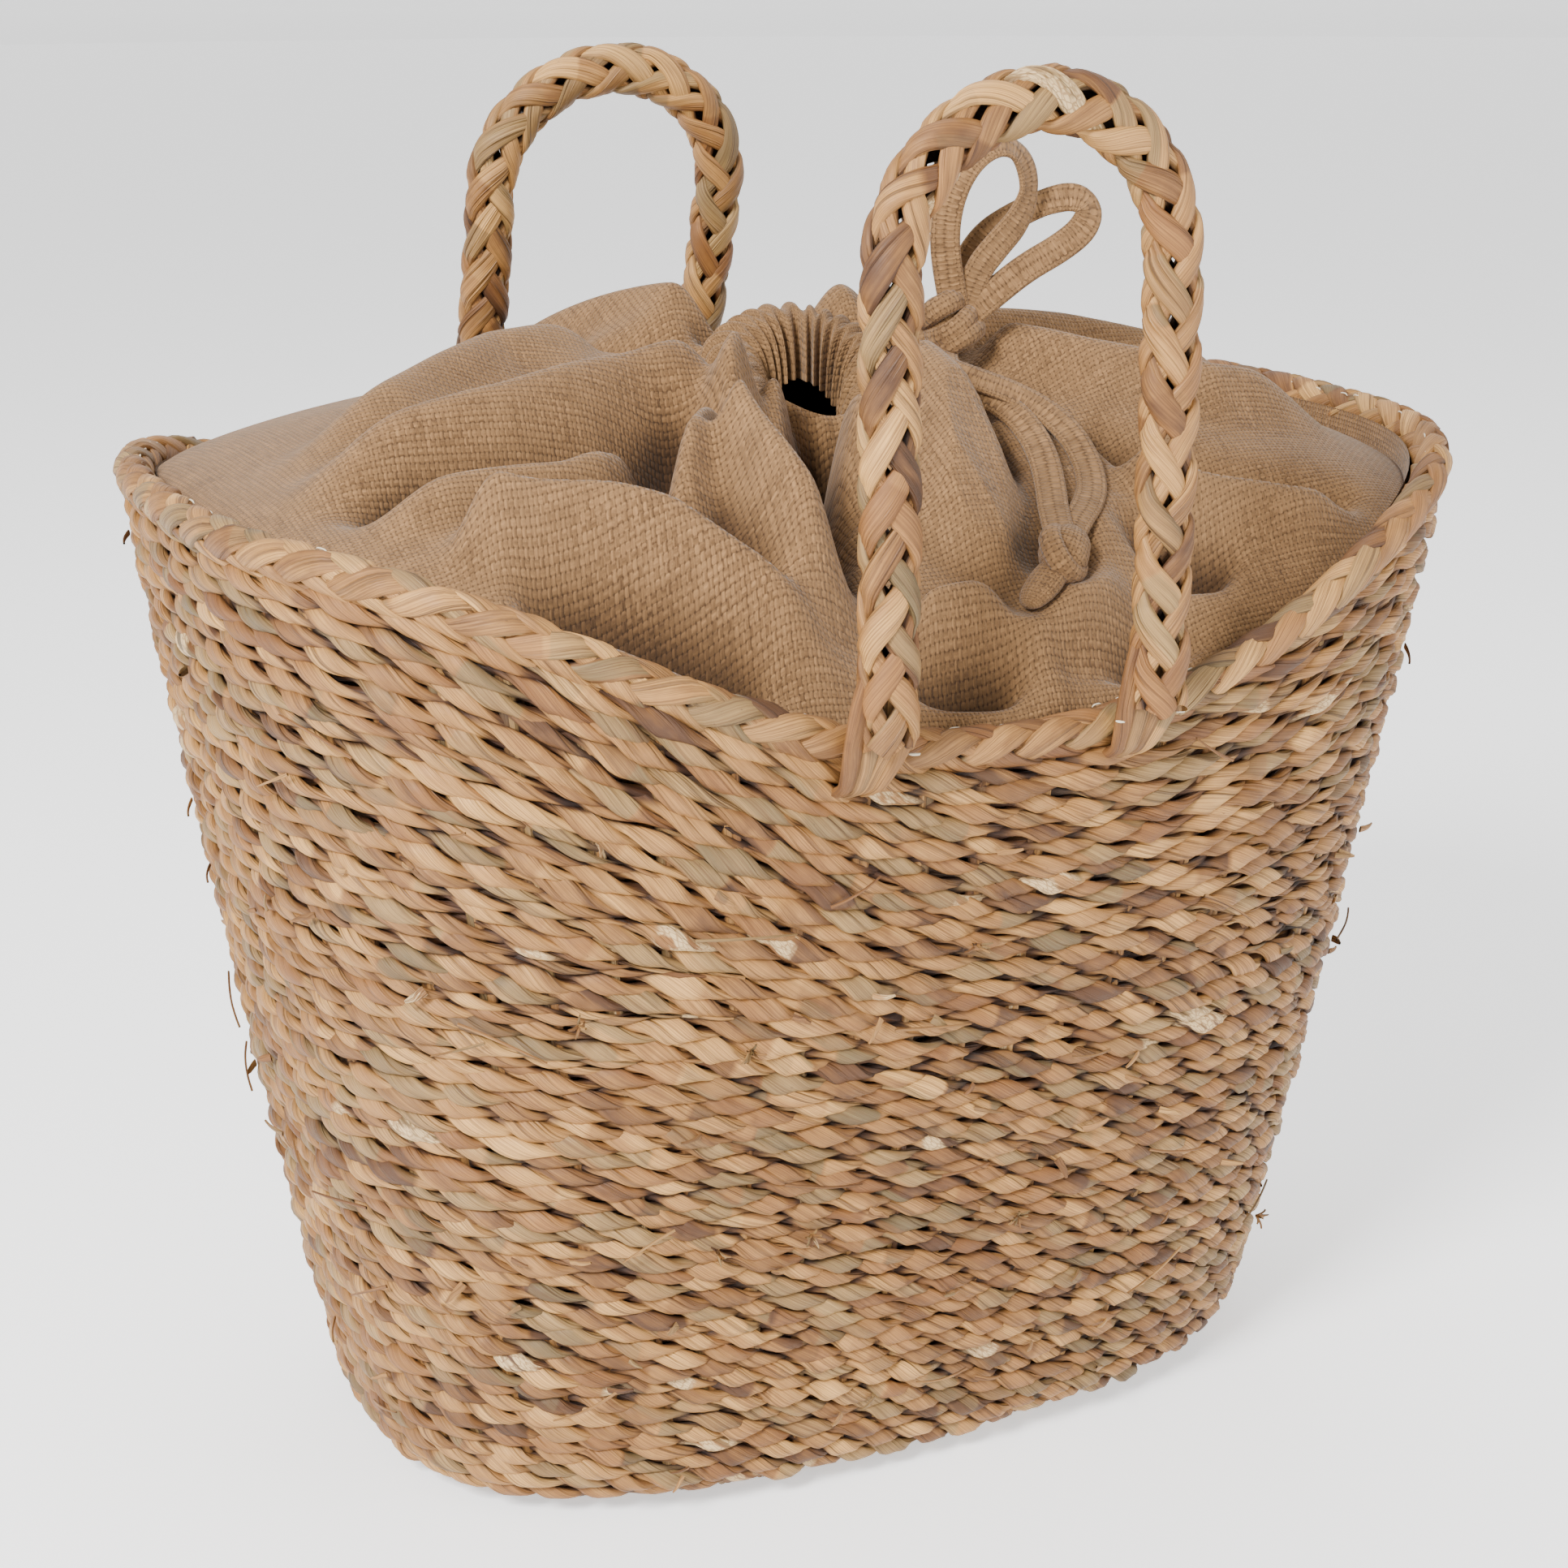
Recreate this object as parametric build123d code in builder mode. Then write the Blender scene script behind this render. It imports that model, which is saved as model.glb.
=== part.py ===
from build123d import *
import os
from math import cos, pi, sin, sqrt, tan, radians, hypot

# Seagrass storage basket: a twined oval basket with a saddle-shaped rim, two plaited
# handles and a cloth liner gathered by a drawstring. Millimetres, +Z up, +X along the
# length, -Y is the front. The origin is under the middle of the base.

# ---- driving dimensions -------------------------------------------------------------
rim_half_length = 240.0      # outer half length of the basket at the ends of the rim
rim_half_width = 185.0       # outer half width that the taper reaches at the end height
foot_half_length = 180.0     # the same at the floor, before the lower edge is rounded
foot_half_width = 111.0
end_height = 371.0           # rim height at the two ends
mid_height = 301.0           # rim height at the middle of the long sides
plan_power = 2.75            # squareness of the oval outline
taper_power = 0.86           # how soon the wall leans out
saddle_power = 1.14          # width of the dip in the rim
edge_radius = 21.0           # rounding where the wall meets the base
base_thickness = 9.0
form_levels = (0, 3, base_thickness, edge_radius, 85, 150, 300, 380)

border_height = 12.0
course_depth = 8.5           # thickness of a twined course, outside to inside
stake_depth = 1.8
stake_width = 4.0
stake_gap = 0.8              # from the inside of the courses to a stake
stake_level = 150.0          # height at which the stakes face squarely out
stake_count = 60
stake_end_gap = 2.0          # from the top of a stake to the border above it
border_depth = 11.5
cloth_thickness = 1.2
layer_gap = 0.3
course_gap = 0.4
liner_inset = border_depth + course_gap

full_courses = 23
short_courses = 6            # extra courses at each end that build up the saddle
first_short_course = 14      # full courses below the lowest short one
short_course_start = 108.0   # distance from the middle where the short courses end

handle_width = 20.0
handle_thickness = 12.0
handle_arch_radius = 50.0    # to the middle of the plait
handle_leg = 142.0           # hinge line to the start of the arch
hinge_height = 309.0
hinge_offset = 179.5         # hinge line from the middle plane of the basket
front_handle_x = -6.0
rear_handle_x = -12.0
rear_lean = 14.0             # degrees that the rear handle leans inwards
foot_width = 24.0
foot_depth = 6.0
foot_drop = 24.0
foot_lean = 10.0

thread = 0.8
stitch_length = 5.0
rim_stitch_count = 64
foot_stitch_step = 7.5
foot_stitch_rise = 6.0       # above the middle of a foot

neck_x = 5.0
neck_height = 396.0
channel_height = 19.0
channel_half_length = 42.0
channel_half_width = 30.0
mouth_half_length = 22.0
mouth_half_width = 13.0
channel_gap = 0.6
channel_fillet = 5.0
liner_top_low = 284.0

cord_diameter = 4.0          # plain round tube that stands for the flat tape
bow_knot_size = (20.0, 17.0, 19.0)
bow_knot_fillet = 6.0
bow_knot_place = (50.0, -30.0, 412.0)
lead_radius = 3.0
lead_length = 20.0
end_knot_radius = 8.0
end_knot_place = (39.0, -131.0, 348.5)
stub_size = (22.0, 12.0, 4.0)
stub_place = (27.0, -138.5, 340.5)
stub_heading = (-16.0, -8.0, -10.0)

# routes of the flat tape, from the bow knot outwards
bow_loop_left_route = (
    (50, -33, 417),
    (46, -34, 431),
    (44, -35, 446),
    (46.5, -36.5, 460.5),
    (54, -38, 472),
    (64.5, -39.5, 476.5),
    (73.5, -40, 470.5),
    (76.5, -40.5, 459),
    (71.5, -40.5, 448),
    (64, -39, 440),
    (56.5, -36, 430),
    (53.5, -34, 418),
)
bow_loop_right_route = (
    (55, -34.5, 415),
    (63.5, -39.5, 423.5),
    (75, -41, 431.5),
    (88, -42, 437.5),
    (98, -42.5, 444),
    (101.5, -41.5, 451.5),
    (96, -38.5, 456),
    (86, -33.5, 453.5),
    (76, -29, 448.5),
    (66.5, -25.5, 442),
    (58.5, -25, 431.5),
    (54, -27, 418),
)
upper_tail_route = (
    (45.5, -34, 404.5),
    (41, -40.5, 400.5),
    (41.5, -48.5, 397.5),
    (48, -55, 394.5),
    (58, -60, 390.5),
    (67.5, -67.5, 384.5),
    (71.5, -79.5, 377.5),
    (70.5, -92, 370),
    (66.5, -103, 363.5),
    (59.5, -111.5, 359),
    (51, -118, 355.5),
    (43.5, -125, 351.5),
)
lower_tail_route = (
    (43, -30, 404),
    (37.5, -35.5, 399),
    (36, -42.5, 395.5),
    (40, -50, 392.5),
    (49, -56, 389.5),
    (56, -64.5, 384.5),
    (57.5, -76.5, 378),
    (55, -89, 371.5),
    (50.5, -101, 364.5),
    (45, -112, 358.5),
    (40.5, -123.5, 353.5),
)

arc_share = 0.45             # of the shorter run beside a corner, taken by its arc
outline_points = 32
saddle_points = 17
small_turn = 0.01            # radians, for directions along an outline
outline_steps = 1920         # for lengths along an outline
settle_rounds = 4            # to find where the wall meets the saddle-shaped rim
reach = 300.0                # longer than half the basket, for cutting bands

os.makedirs("parts", exist_ok=True)


# ---- shape of the wall --------------------------------------------------------------
def half_axes(z, inset):
    """Half length and half width of the wall at height z, moved inwards by inset."""
    lean = (z / end_height) ** taper_power
    under = 0.0
    if z < edge_radius:
        under = edge_radius - sqrt(edge_radius**2 - (edge_radius - z) ** 2)
    along = foot_half_length + (rim_half_length - foot_half_length) * lean
    across = foot_half_width + (rim_half_width - foot_half_width) * lean
    return along - under - inset, across - under - inset


def oval_point(angle, half_x, half_y, power):
    """Point of an oval at a polar angle."""
    stretch = abs(cos(angle) / half_x) ** power + abs(sin(angle) / half_y) ** power
    radius = stretch ** (-1 / power)
    return radius * cos(angle), radius * sin(angle)


def oval_outline(half_x, half_y, power):
    """Points of a whole oval outline."""
    turns = [2 * pi * k / outline_points for k in range(outline_points)]
    return [oval_point(turn, half_x, half_y, power) for turn in turns]


def saddle(x):
    """0 at the middle of the basket, 1 at its ends."""
    share = min(abs(x) / rim_half_length, 1.0)
    return (1 - cos(pi * share**saddle_power)) / 2


def saddle_edge(height, rise, start, end):
    """Side-view line of a course edge that climbs by rise at the ends."""
    if rise == 0:
        return Line((start, height), (end, height))
    step = (end - start) / (saddle_points - 1)
    places = [start + k * step for k in range(saddle_points)]
    return Spline(*[(x, height + rise * saddle(x)) for x in places])


def basket_form(inset):
    """Solid filled form of the basket, its wall moved inwards by inset."""
    with BuildPart() as form:
        for level in form_levels:
            half_x, half_y = half_axes(level, inset)
            with BuildSketch(Plane.XY.offset(level)):
                with BuildLine():
                    Spline(*oval_outline(half_x, half_y, plan_power), periodic=True)
                make_face()
        loft(ruled=True)
    return form.part


def band(low, low_rise, high, high_rise, start=-reach, end=reach):
    """Solid between two saddle-shaped sheets, wider than the basket."""
    with BuildPart() as slab:
        with BuildSketch(Plane.XZ):
            with BuildLine():
                lower = saddle_edge(low, low_rise, start, end)
                upper = saddle_edge(high, high_rise, start, end)
                Line(lower @ 0, upper @ 0)
                Line(lower @ 1, upper @ 1)
            make_face()
        extrude(amount=reach, both=True)
    return slab.part


def save(piece, label):
    piece.label = label
    export_step(piece, f"parts/{label}.step")
    print(f"{label}: {len(piece.solids())} solid(s), {piece.volume / 1000:.1f} cm3")


# ---- heights of the courses ---------------------------------------------------------
full_rise = end_height - mid_height
course_pitch = (mid_height - border_height - base_thickness) / full_courses
short_pitch = full_rise / short_courses


def course_height(index):
    """Lower edge of a full course at the middle of the basket."""
    return base_thickness + index * course_pitch


def course_rise(index):
    """How much higher that edge is at the ends."""
    steps = min(max(index - first_short_course, 0), short_courses)
    return steps * short_pitch


# ---- woven base and wall ------------------------------------------------------------
outer_form = basket_form(0)
inner_form = basket_form(course_depth)

with BuildPart() as wall_shell:
    add(outer_form)
    add(inner_form, mode=Mode.SUBTRACT)

with BuildPart() as woven_base:
    add(outer_form)
    with BuildSketch(Plane.XY):
        Rectangle(2 * reach, 2 * reach)
    extrude(amount=base_thickness - course_gap, mode=Mode.INTERSECT)
save(woven_base.part, "woven_base")

for index in range(full_courses):
    low = course_height(index)
    rise = course_rise(index)
    with BuildPart() as weft_course:
        add(wall_shell.part)
        add(band(low, rise, low + course_pitch - course_gap, rise), mode=Mode.INTERSECT)
    save(weft_course.part, f"weft_course_{index + 1:02d}")

for index in range(short_courses):
    row = first_short_course + index
    low = course_height(row) + course_pitch
    high = low - course_gap
    low_rise = course_rise(row)
    high_rise = low_rise + short_pitch
    for side, name in ((-1, "left"), (1, "right")):
        near = side * short_course_start
        with BuildPart() as short_course:
            add(wall_shell.part)
            add(band(low, low_rise, high, high_rise, near, side * reach), mode=Mode.INTERSECT)
        save(short_course.part, f"short_course_{name}_{index + 1}")

# ---- rim border ---------------------------------------------------------------------
border_low = mid_height - border_height
with BuildPart() as rim_border:
    add(outer_form)
    add(basket_form(border_depth), mode=Mode.SUBTRACT)
    add(band(border_low, full_rise, mid_height, full_rise), mode=Mode.INTERSECT)
save(rim_border.part, "rim_border")

# ---- upright stakes that the courses twine around -----------------------------------
def stake_angles():
    """Polar angles evenly spaced along the outline at half height."""
    half_x, half_y = half_axes(mid_height / 2, 0)
    turns = [2 * pi * k / outline_steps for k in range(outline_steps + 1)]
    outline = [oval_point(turn, half_x, half_y, plan_power) for turn in turns]
    lengths = [0.0]
    for here, there in zip(outline, outline[1:]):
        lengths.append(lengths[-1] + hypot(there[0] - here[0], there[1] - here[1]))
    chosen = []
    for k in range(stake_count):
        wanted = (k + 0.5) * lengths[-1] / stake_count
        place = next(i for i, length in enumerate(lengths) if length >= wanted)
        chosen.append(turns[place])
    return chosen


def rim_point(angle, inset):
    """Point of the top of the rim at a polar angle, moved inwards by inset."""
    height = mid_height
    for _ in range(settle_rounds):
        half_x, half_y = half_axes(height, inset)
        x, y = oval_point(angle, half_x, half_y, plan_power)
        height = mid_height + full_rise * saddle(x)
    return Vector(x, y, height)


def outline_direction(angle, level):
    """Unit direction along the outline at a height and a polar angle."""
    half_x, half_y = half_axes(level, 0)
    before = oval_point(angle - small_turn, half_x, half_y, plan_power)
    after = oval_point(angle + small_turn, half_x, half_y, plan_power)
    return Vector(after[0] - before[0], after[1] - before[1], 0).normalized()


def stake_edge(angle, inset, top):
    """Side view of one face of a stake: distances from the middle, and heights."""
    between = [level for level in form_levels if base_thickness < level < top]
    edge = []
    for level in [base_thickness, *between, top]:
        x, y = oval_point(angle, *half_axes(level, inset), plan_power)
        edge.append((hypot(x, y), level))
    return edge


stake_outer = course_depth + stake_gap
with BuildPart() as warp_stakes:
    for angle in stake_angles():
        top = rim_point(angle, stake_outer).Z - border_height - stake_end_gap
        outer = stake_edge(angle, stake_outer, top)
        inner = stake_edge(angle, stake_outer + stake_depth, top)
        along = outline_direction(angle, stake_level)
        outward = Vector(cos(angle), sin(angle), 0)
        side_view = Plane(origin=(0, 0, 0), x_dir=outward, z_dir=outward.cross(Vector(0, 0, 1)))
        with BuildSketch(side_view):
            with BuildLine():
                Polyline(*outer, *reversed(inner), close=True)
            make_face()
        extrude(amount=stake_width / 2, dir=along, both=True)
save(warp_stakes.part, "warp_stakes")

# ---- cloth liner inside the basket --------------------------------------------------
liner_floor = base_thickness + course_gap
with BuildPart() as liner_bag:
    add(basket_form(liner_inset))
    add(basket_form(liner_inset + cloth_thickness), mode=Mode.SUBTRACT)
    add(band(liner_floor, 0, border_low, full_rise), mode=Mode.INTERSECT)
    floor_x, floor_y = half_axes(liner_floor, liner_inset + cloth_thickness / 2)
    with BuildSketch(Plane.XY.offset(liner_floor)):
        with BuildLine():
            Spline(*oval_outline(floor_x, floor_y, plan_power), periodic=True)
        make_face()
    extrude(amount=cloth_thickness)
save(liner_bag.part, "liner_bag")

# ---- gathered top of the liner ------------------------------------------------------
# height, half length, half width, squareness of each level of the dome
dome_levels = (
    (liner_top_low, 0, 0, plan_power),
    (315, 0, -11, plan_power),
    (345, 0, -45, 2.6),
    (368, -2, -83, 2.4),
    (382, -44, -112, 2.2),
    (391, -120, -130, 2.1),
    (neck_height, -190, -147, 2.0),
)


def dome_form(inset):
    """Filled form under the gathered cloth, moved inwards by inset."""
    with BuildPart() as form:
        for level, trim_x, trim_y, power in dome_levels:
            half_x, half_y = half_axes(level, liner_inset + inset + layer_gap)
            with BuildSketch(Plane.XY.offset(level)):
                with BuildLine():
                    Spline(*oval_outline(half_x + trim_x, half_y + trim_y, power), periodic=True)
                make_face()
        loft(ruled=True)
    return form.part


with BuildPart() as liner_top:
    add(dome_form(0))
    add(dome_form(cloth_thickness), mode=Mode.SUBTRACT)
    add(band(border_low + layer_gap, full_rise, mid_height + reach, 0), mode=Mode.INTERSECT)
save(liner_top.part, "liner_top")

# ---- drawstring channel, the ruched hem round the mouth -----------------------------
channel_low = neck_height + channel_gap
with BuildPart() as drawstring_channel:
    with BuildSketch(Plane.XY.offset(channel_low)):
        with Locations((neck_x, 0)):
            Ellipse(channel_half_length, channel_half_width)
            Ellipse(mouth_half_length, mouth_half_width, mode=Mode.SUBTRACT)
    extrude(amount=channel_height)
    fillet(drawstring_channel.edges(), channel_fillet)
save(drawstring_channel.part, "drawstring_channel")


# ---- handles ------------------------------------------------------------------------
def wall_width(x, z):
    """Distance of the outer wall from the middle plane at a place along the basket."""
    half_x, half_y = half_axes(z, 0)
    return half_y * (1 - abs(x / half_x) ** plan_power) ** (1 / plan_power)


def make_handle(side, middle, lean, label):
    """Plaited arch on its hinge line; side is -1 at the front and 1 at the rear."""
    plane = Plane(
        origin=(middle, side * hinge_offset, hinge_height),
        x_dir=(1, 0, 0),
        z_dir=(0, -cos(radians(lean)), -side * sin(radians(lean))),
    )
    outer_radius = handle_arch_radius + handle_width / 2
    inner_radius = handle_arch_radius - handle_width / 2
    with BuildPart() as handle:
        with BuildSketch(plane):
            with Locations((0, handle_leg / 2)):
                Rectangle(2 * outer_radius, handle_leg)
            with Locations((0, handle_leg)):
                Circle(outer_radius)
                Circle(inner_radius, mode=Mode.SUBTRACT)
            with Locations((0, handle_leg / 2)):
                Rectangle(2 * inner_radius, handle_leg, mode=Mode.SUBTRACT)
        extrude(amount=handle_thickness / 2, both=True)
        fillet(handle.faces().filter_by(plane).edges(), handle_thickness / 3)
        for leg in (-1, 1):
            knuckle = (middle + leg * handle_arch_radius, side * hinge_offset, hinge_height)
            with Locations(Plane(origin=knuckle, z_dir=(1, 0, 0))):
                Cylinder(handle_thickness / 2, handle_width)
    save(handle.part, label)


foot_gap = 0.6
foot_top = hinge_height - handle_thickness / 2 - foot_gap


def foot_plane(side, x):
    """Plane on the middle of a foot, its y axis up along the leaning wall."""
    near_x = abs(x) - foot_width / 2
    height = foot_top - foot_drop / 2
    depth = wall_width(near_x, height) + foot_gap + foot_depth / 2 / cos(radians(foot_lean))
    tilt = radians(foot_lean)
    return Plane(
        origin=(x, side * depth, height),
        x_dir=(1, 0, 0),
        z_dir=(0, -cos(tilt), side * sin(tilt)),
    )


def make_feet(side, middle, label):
    """Two opened-out handle ends, flat against the outside of the wall."""
    with BuildPart() as feet:
        for leg in (-1, 1):
            with BuildSketch(foot_plane(side, middle + leg * handle_arch_radius)):
                RectangleRounded(foot_width, foot_drop, foot_depth / 2)
            extrude(amount=foot_depth / 2, both=True)
    save(feet.part, label)


def make_foot_stitches(side, middle, label):
    """Thread dashes across the outer face of each foot."""
    with BuildPart() as stitches:
        for leg in (-1, 1):
            plane = foot_plane(side, middle + leg * handle_arch_radius)
            outer_face = -side * (foot_depth + thread) / 2
            for dash in (-1, 0, 1):
                with Locations(plane * Location((dash * foot_stitch_step, foot_stitch_rise, outer_face))):
                    Box(stitch_length, thread, thread)
    save(stitches.part, label)


for side, middle, lean, name in (
    (-1, front_handle_x, 0.0, "front_handle"),
    (1, rear_handle_x, rear_lean, "rear_handle"),
):
    make_handle(side, middle, lean, name)
    make_feet(side, middle, f"{name}_feet")
    make_foot_stitches(side, middle, f"{name}_stitches")

# ---- running stitches that hold the liner to the rim --------------------------------
stitch_inset = border_depth - 2 * thread
with BuildPart() as rim_stitches:
    for index in range(rim_stitch_count):
        turn = 2 * pi * (index + 0.5) / rim_stitch_count
        here = rim_point(turn, stitch_inset)
        along = rim_point(turn + small_turn, stitch_inset) - here
        upright = along.cross(Vector(0, 0, 1).cross(along))
        with Locations(Plane(origin=here + Vector(0, 0, thread), x_dir=along, z_dir=upright)):
            Box(stitch_length, thread, thread)
save(rim_stitches.part, "rim_stitches")


# ---- drawstring ---------------------------------------------------------------------
def route_radii(points):
    """Largest arc that each corner of a route allows."""
    radii = []
    for before, corner, after in zip(points, points[1:], points[2:]):
        arriving = Vector(*corner) - Vector(*before)
        leaving = Vector(*after) - Vector(*corner)
        half_turn = radians(arriving.get_angle(leaving)) / 2
        radii.append(arc_share * min(arriving.length, leaving.length) / tan(half_turn))
    return radii


def make_cord(points, label):
    """Plain tube along a route of straight runs and tangent arcs."""
    radii = route_radii(points)
    with BuildPart() as cord:
        with BuildLine():
            path = FilletPolyline(*points, radius=radii)
        with BuildSketch(Plane(origin=path @ 0, z_dir=path % 0)):
            Circle(cord_diameter / 2)
        sweep()
    save(cord.part, label)
    length = path.length
    expected = length * pi * cord_diameter**2 / 4
    listed = " ".join(f"{radius:.0f}" for radius in radii)
    print(f"  length {length:.1f} mm, radii {listed}, volume / expected {cord.part.volume / expected:.3f}")


knot_edge = Vector(neck_x - bow_knot_place[0], -bow_knot_place[1], 0)
with BuildPart() as bow_knot:
    with Locations(bow_knot_place):
        Box(*bow_knot_size)
    fillet(bow_knot.edges(), bow_knot_fillet)
    lead_start = (bow_knot_place[0], bow_knot_place[1], channel_low + channel_height / 2)
    with BuildSketch(Plane(origin=lead_start, z_dir=knot_edge)):
        Circle(lead_radius)
    extrude(amount=lead_length)
save(bow_knot.part, "bow_knot")

make_cord(bow_loop_left_route, "bow_loop_left")
make_cord(bow_loop_right_route, "bow_loop_right")
make_cord(upper_tail_route, "upper_tail")
make_cord(lower_tail_route, "lower_tail")

with BuildPart() as end_knot:
    with Locations(end_knot_place):
        Sphere(end_knot_radius)
    across = Vector(*stub_heading).cross(Vector(0, 0, 1))
    with Locations(Plane(origin=stub_place, x_dir=stub_heading, z_dir=Vector(*stub_heading).cross(across))):
        Box(*stub_size)
save(end_knot.part, "end_knot")
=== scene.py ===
from math import cos, pi, radians, sin, tau

import bpy
import numpy as np
from mathutils import Matrix, Vector


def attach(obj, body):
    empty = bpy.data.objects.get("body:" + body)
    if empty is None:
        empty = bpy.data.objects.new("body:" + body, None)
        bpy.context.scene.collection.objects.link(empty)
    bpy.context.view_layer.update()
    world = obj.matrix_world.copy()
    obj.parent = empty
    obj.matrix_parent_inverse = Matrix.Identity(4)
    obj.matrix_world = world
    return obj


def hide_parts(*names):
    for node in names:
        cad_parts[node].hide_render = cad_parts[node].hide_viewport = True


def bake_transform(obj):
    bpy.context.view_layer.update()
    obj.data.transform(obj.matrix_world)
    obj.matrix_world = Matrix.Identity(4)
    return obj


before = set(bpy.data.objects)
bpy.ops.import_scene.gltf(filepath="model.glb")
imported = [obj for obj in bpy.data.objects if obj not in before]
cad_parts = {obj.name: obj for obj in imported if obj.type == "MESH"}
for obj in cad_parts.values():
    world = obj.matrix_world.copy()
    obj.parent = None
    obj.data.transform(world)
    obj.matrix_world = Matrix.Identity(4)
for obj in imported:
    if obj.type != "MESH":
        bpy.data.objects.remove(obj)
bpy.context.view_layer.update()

# Seagrass basket: twined rows, plaited rim and handles, gathered cloth liner, tied tape.
# Metres, +Z up, +X along the basket, -Y is the front.

# Driving dimensions, the same as the CAD model's
RIM_HALF = np.array([0.240, 0.185])
FOOT_HALF = np.array([0.180, 0.111])
END_HEIGHT = 0.371
MID_HEIGHT = 0.301
PLAN_POWER = 2.75
TAPER_POWER = 0.86
SADDLE_POWER = 1.14
EDGE_RADIUS = 0.021
BASE_THICKNESS = 0.009
BORDER_HEIGHT = 0.012
COURSE_DEPTH = 0.0085
STAKE_COUNT = 60
FULL_COURSES = 23
SHORT_COURSES = 6
FIRST_SHORT = 14
SHORT_START = 0.095
SHORT_BLEND = 0.055
FULL_RISE = END_HEIGHT - MID_HEIGHT
PITCH = (MID_HEIGHT - BORDER_HEIGHT - BASE_THICKNESS) / FULL_COURSES
SHORT_PITCH = FULL_RISE / SHORT_COURSES

# Camera
CAMERA_AZIMUTH = radians(-26.05)
CAMERA_ELEVATION = radians(17.43)
CAMERA_ROLL = radians(-0.26)
CAMERA_DISTANCE = 1.072
CAMERA_TARGET = Vector((-0.003, 0.001, 0.235))
CAMERA_LENS = 64.14


def put_in_scene(name, data):
    thing = bpy.data.objects.new(name, data)
    bpy.context.scene.collection.objects.link(thing)
    return thing


def make_camera():
    """The viewing angle of a standing person looking slightly down on the basket."""
    azimuth, elevation = CAMERA_AZIMUTH, CAMERA_ELEVATION
    back = Vector((sin(azimuth) * cos(elevation), -cos(azimuth) * cos(elevation), sin(elevation)))
    right = Vector((cos(azimuth), sin(azimuth), 0))
    up = back.cross(right)
    right, up = (
        right * cos(CAMERA_ROLL) + up * sin(CAMERA_ROLL),
        up * cos(CAMERA_ROLL) - right * sin(CAMERA_ROLL),
    )
    data = bpy.data.cameras.new("camera")
    data.lens = CAMERA_LENS
    data.sensor_width = 36
    camera = put_in_scene("camera", data)
    camera.matrix_world = Matrix((right, up, back)).transposed().to_4x4()
    camera.matrix_world.translation = CAMERA_TARGET + back * CAMERA_DISTANCE
    bpy.context.scene.camera = camera


make_camera()

# Drawstring routes, from the bow knot outwards
ROUTES_MM = {
    "bow_loop_left": (
        (50, -33, 417), (46, -34, 431), (44, -35, 446), (46.5, -36.5, 460.5), (54, -38, 472),
        (64.5, -39.5, 476.5), (73.5, -40, 470.5), (76.5, -40.5, 459), (71.5, -40.5, 448),
        (64, -39, 440), (56.5, -36, 430), (53.5, -34, 418),
    ),
    "bow_loop_right": (
        (55, -34.5, 415), (63.5, -39.5, 423.5), (75, -41, 431.5), (88, -42, 437.5),
        (98, -42.5, 444), (101.5, -41.5, 451.5), (96, -38.5, 456), (86, -33.5, 453.5),
        (76, -29, 448.5), (66.5, -25.5, 442), (58.5, -25, 431.5), (54, -27, 418),
    ),
    "upper_tail": (
        (45.5, -34, 404.5), (41, -40.5, 400.5), (41.5, -48.5, 397.5), (48, -55, 394.5),
        (58, -60, 390.5), (67.5, -67.5, 384.5), (71.5, -79.5, 377.5), (70.5, -92, 370),
        (66.5, -103, 363.5), (59.5, -111.5, 359), (51, -118, 355.5), (43.5, -125, 351.5),
    ),
    "lower_tail": (
        (43, -30, 404), (37.5, -35.5, 399), (36, -42.5, 395.5), (40, -50, 392.5), (49, -56, 389.5),
        (56, -64.5, 384.5), (57.5, -76.5, 378), (55, -89, 371.5), (50.5, -101, 364.5),
        (45, -112, 358.5), (40.5, -123.5, 353.5),
    ),
}
ROUTES = {name: np.array(places) / 1000 for name, places in ROUTES_MM.items()}
TAPE_WIDTH = 0.009
TAPE_THICKNESS = 0.0026
TAPE_SECTION = 16


def route_line(points):
    """Points and length of a smooth line that a route controls."""
    curve = bpy.data.curves.new("route", "CURVE")
    curve.dimensions = "3D"
    curve.resolution_u = 10
    spline = curve.splines.new("NURBS")
    spline.points.add(len(points) - 1)
    for control, place in zip(spline.points, points):
        control.co = (*place, 1)
    spline.order_u = 3
    spline.use_endpoint_u = True
    holder = bpy.data.objects.new("route", curve)
    mesh = bpy.data.meshes.new_from_object(holder)
    line = np.array([vertex.co for vertex in mesh.vertices])
    bpy.data.objects.remove(holder)
    bpy.data.meshes.remove(mesh)
    bpy.data.curves.remove(curve)
    return line


# Mesh helpers
def unit(vectors):
    return vectors / np.maximum(np.linalg.norm(vectors, axis=-1, keepdims=True), 1e-12)


def tangents(line, closed):
    """Unit direction along a line of points."""
    if closed:
        return unit(np.roll(line, -1, axis=0) - np.roll(line, 1, axis=0))
    return unit(np.gradient(line, axis=0))


def grid_block(points, closed, uv=None, tint=None):
    """A grid of points [rows, columns, 3], closed across its columns, and along its rows if closed."""
    rows, columns = points.shape[:2]
    return {
        "points": points,
        "closed": closed,
        "uv": np.zeros((rows + closed, columns + 1, 2)) if uv is None else uv,
        "tint": np.ones((rows, columns, 4)) if tint is None else tint,
    }


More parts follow.
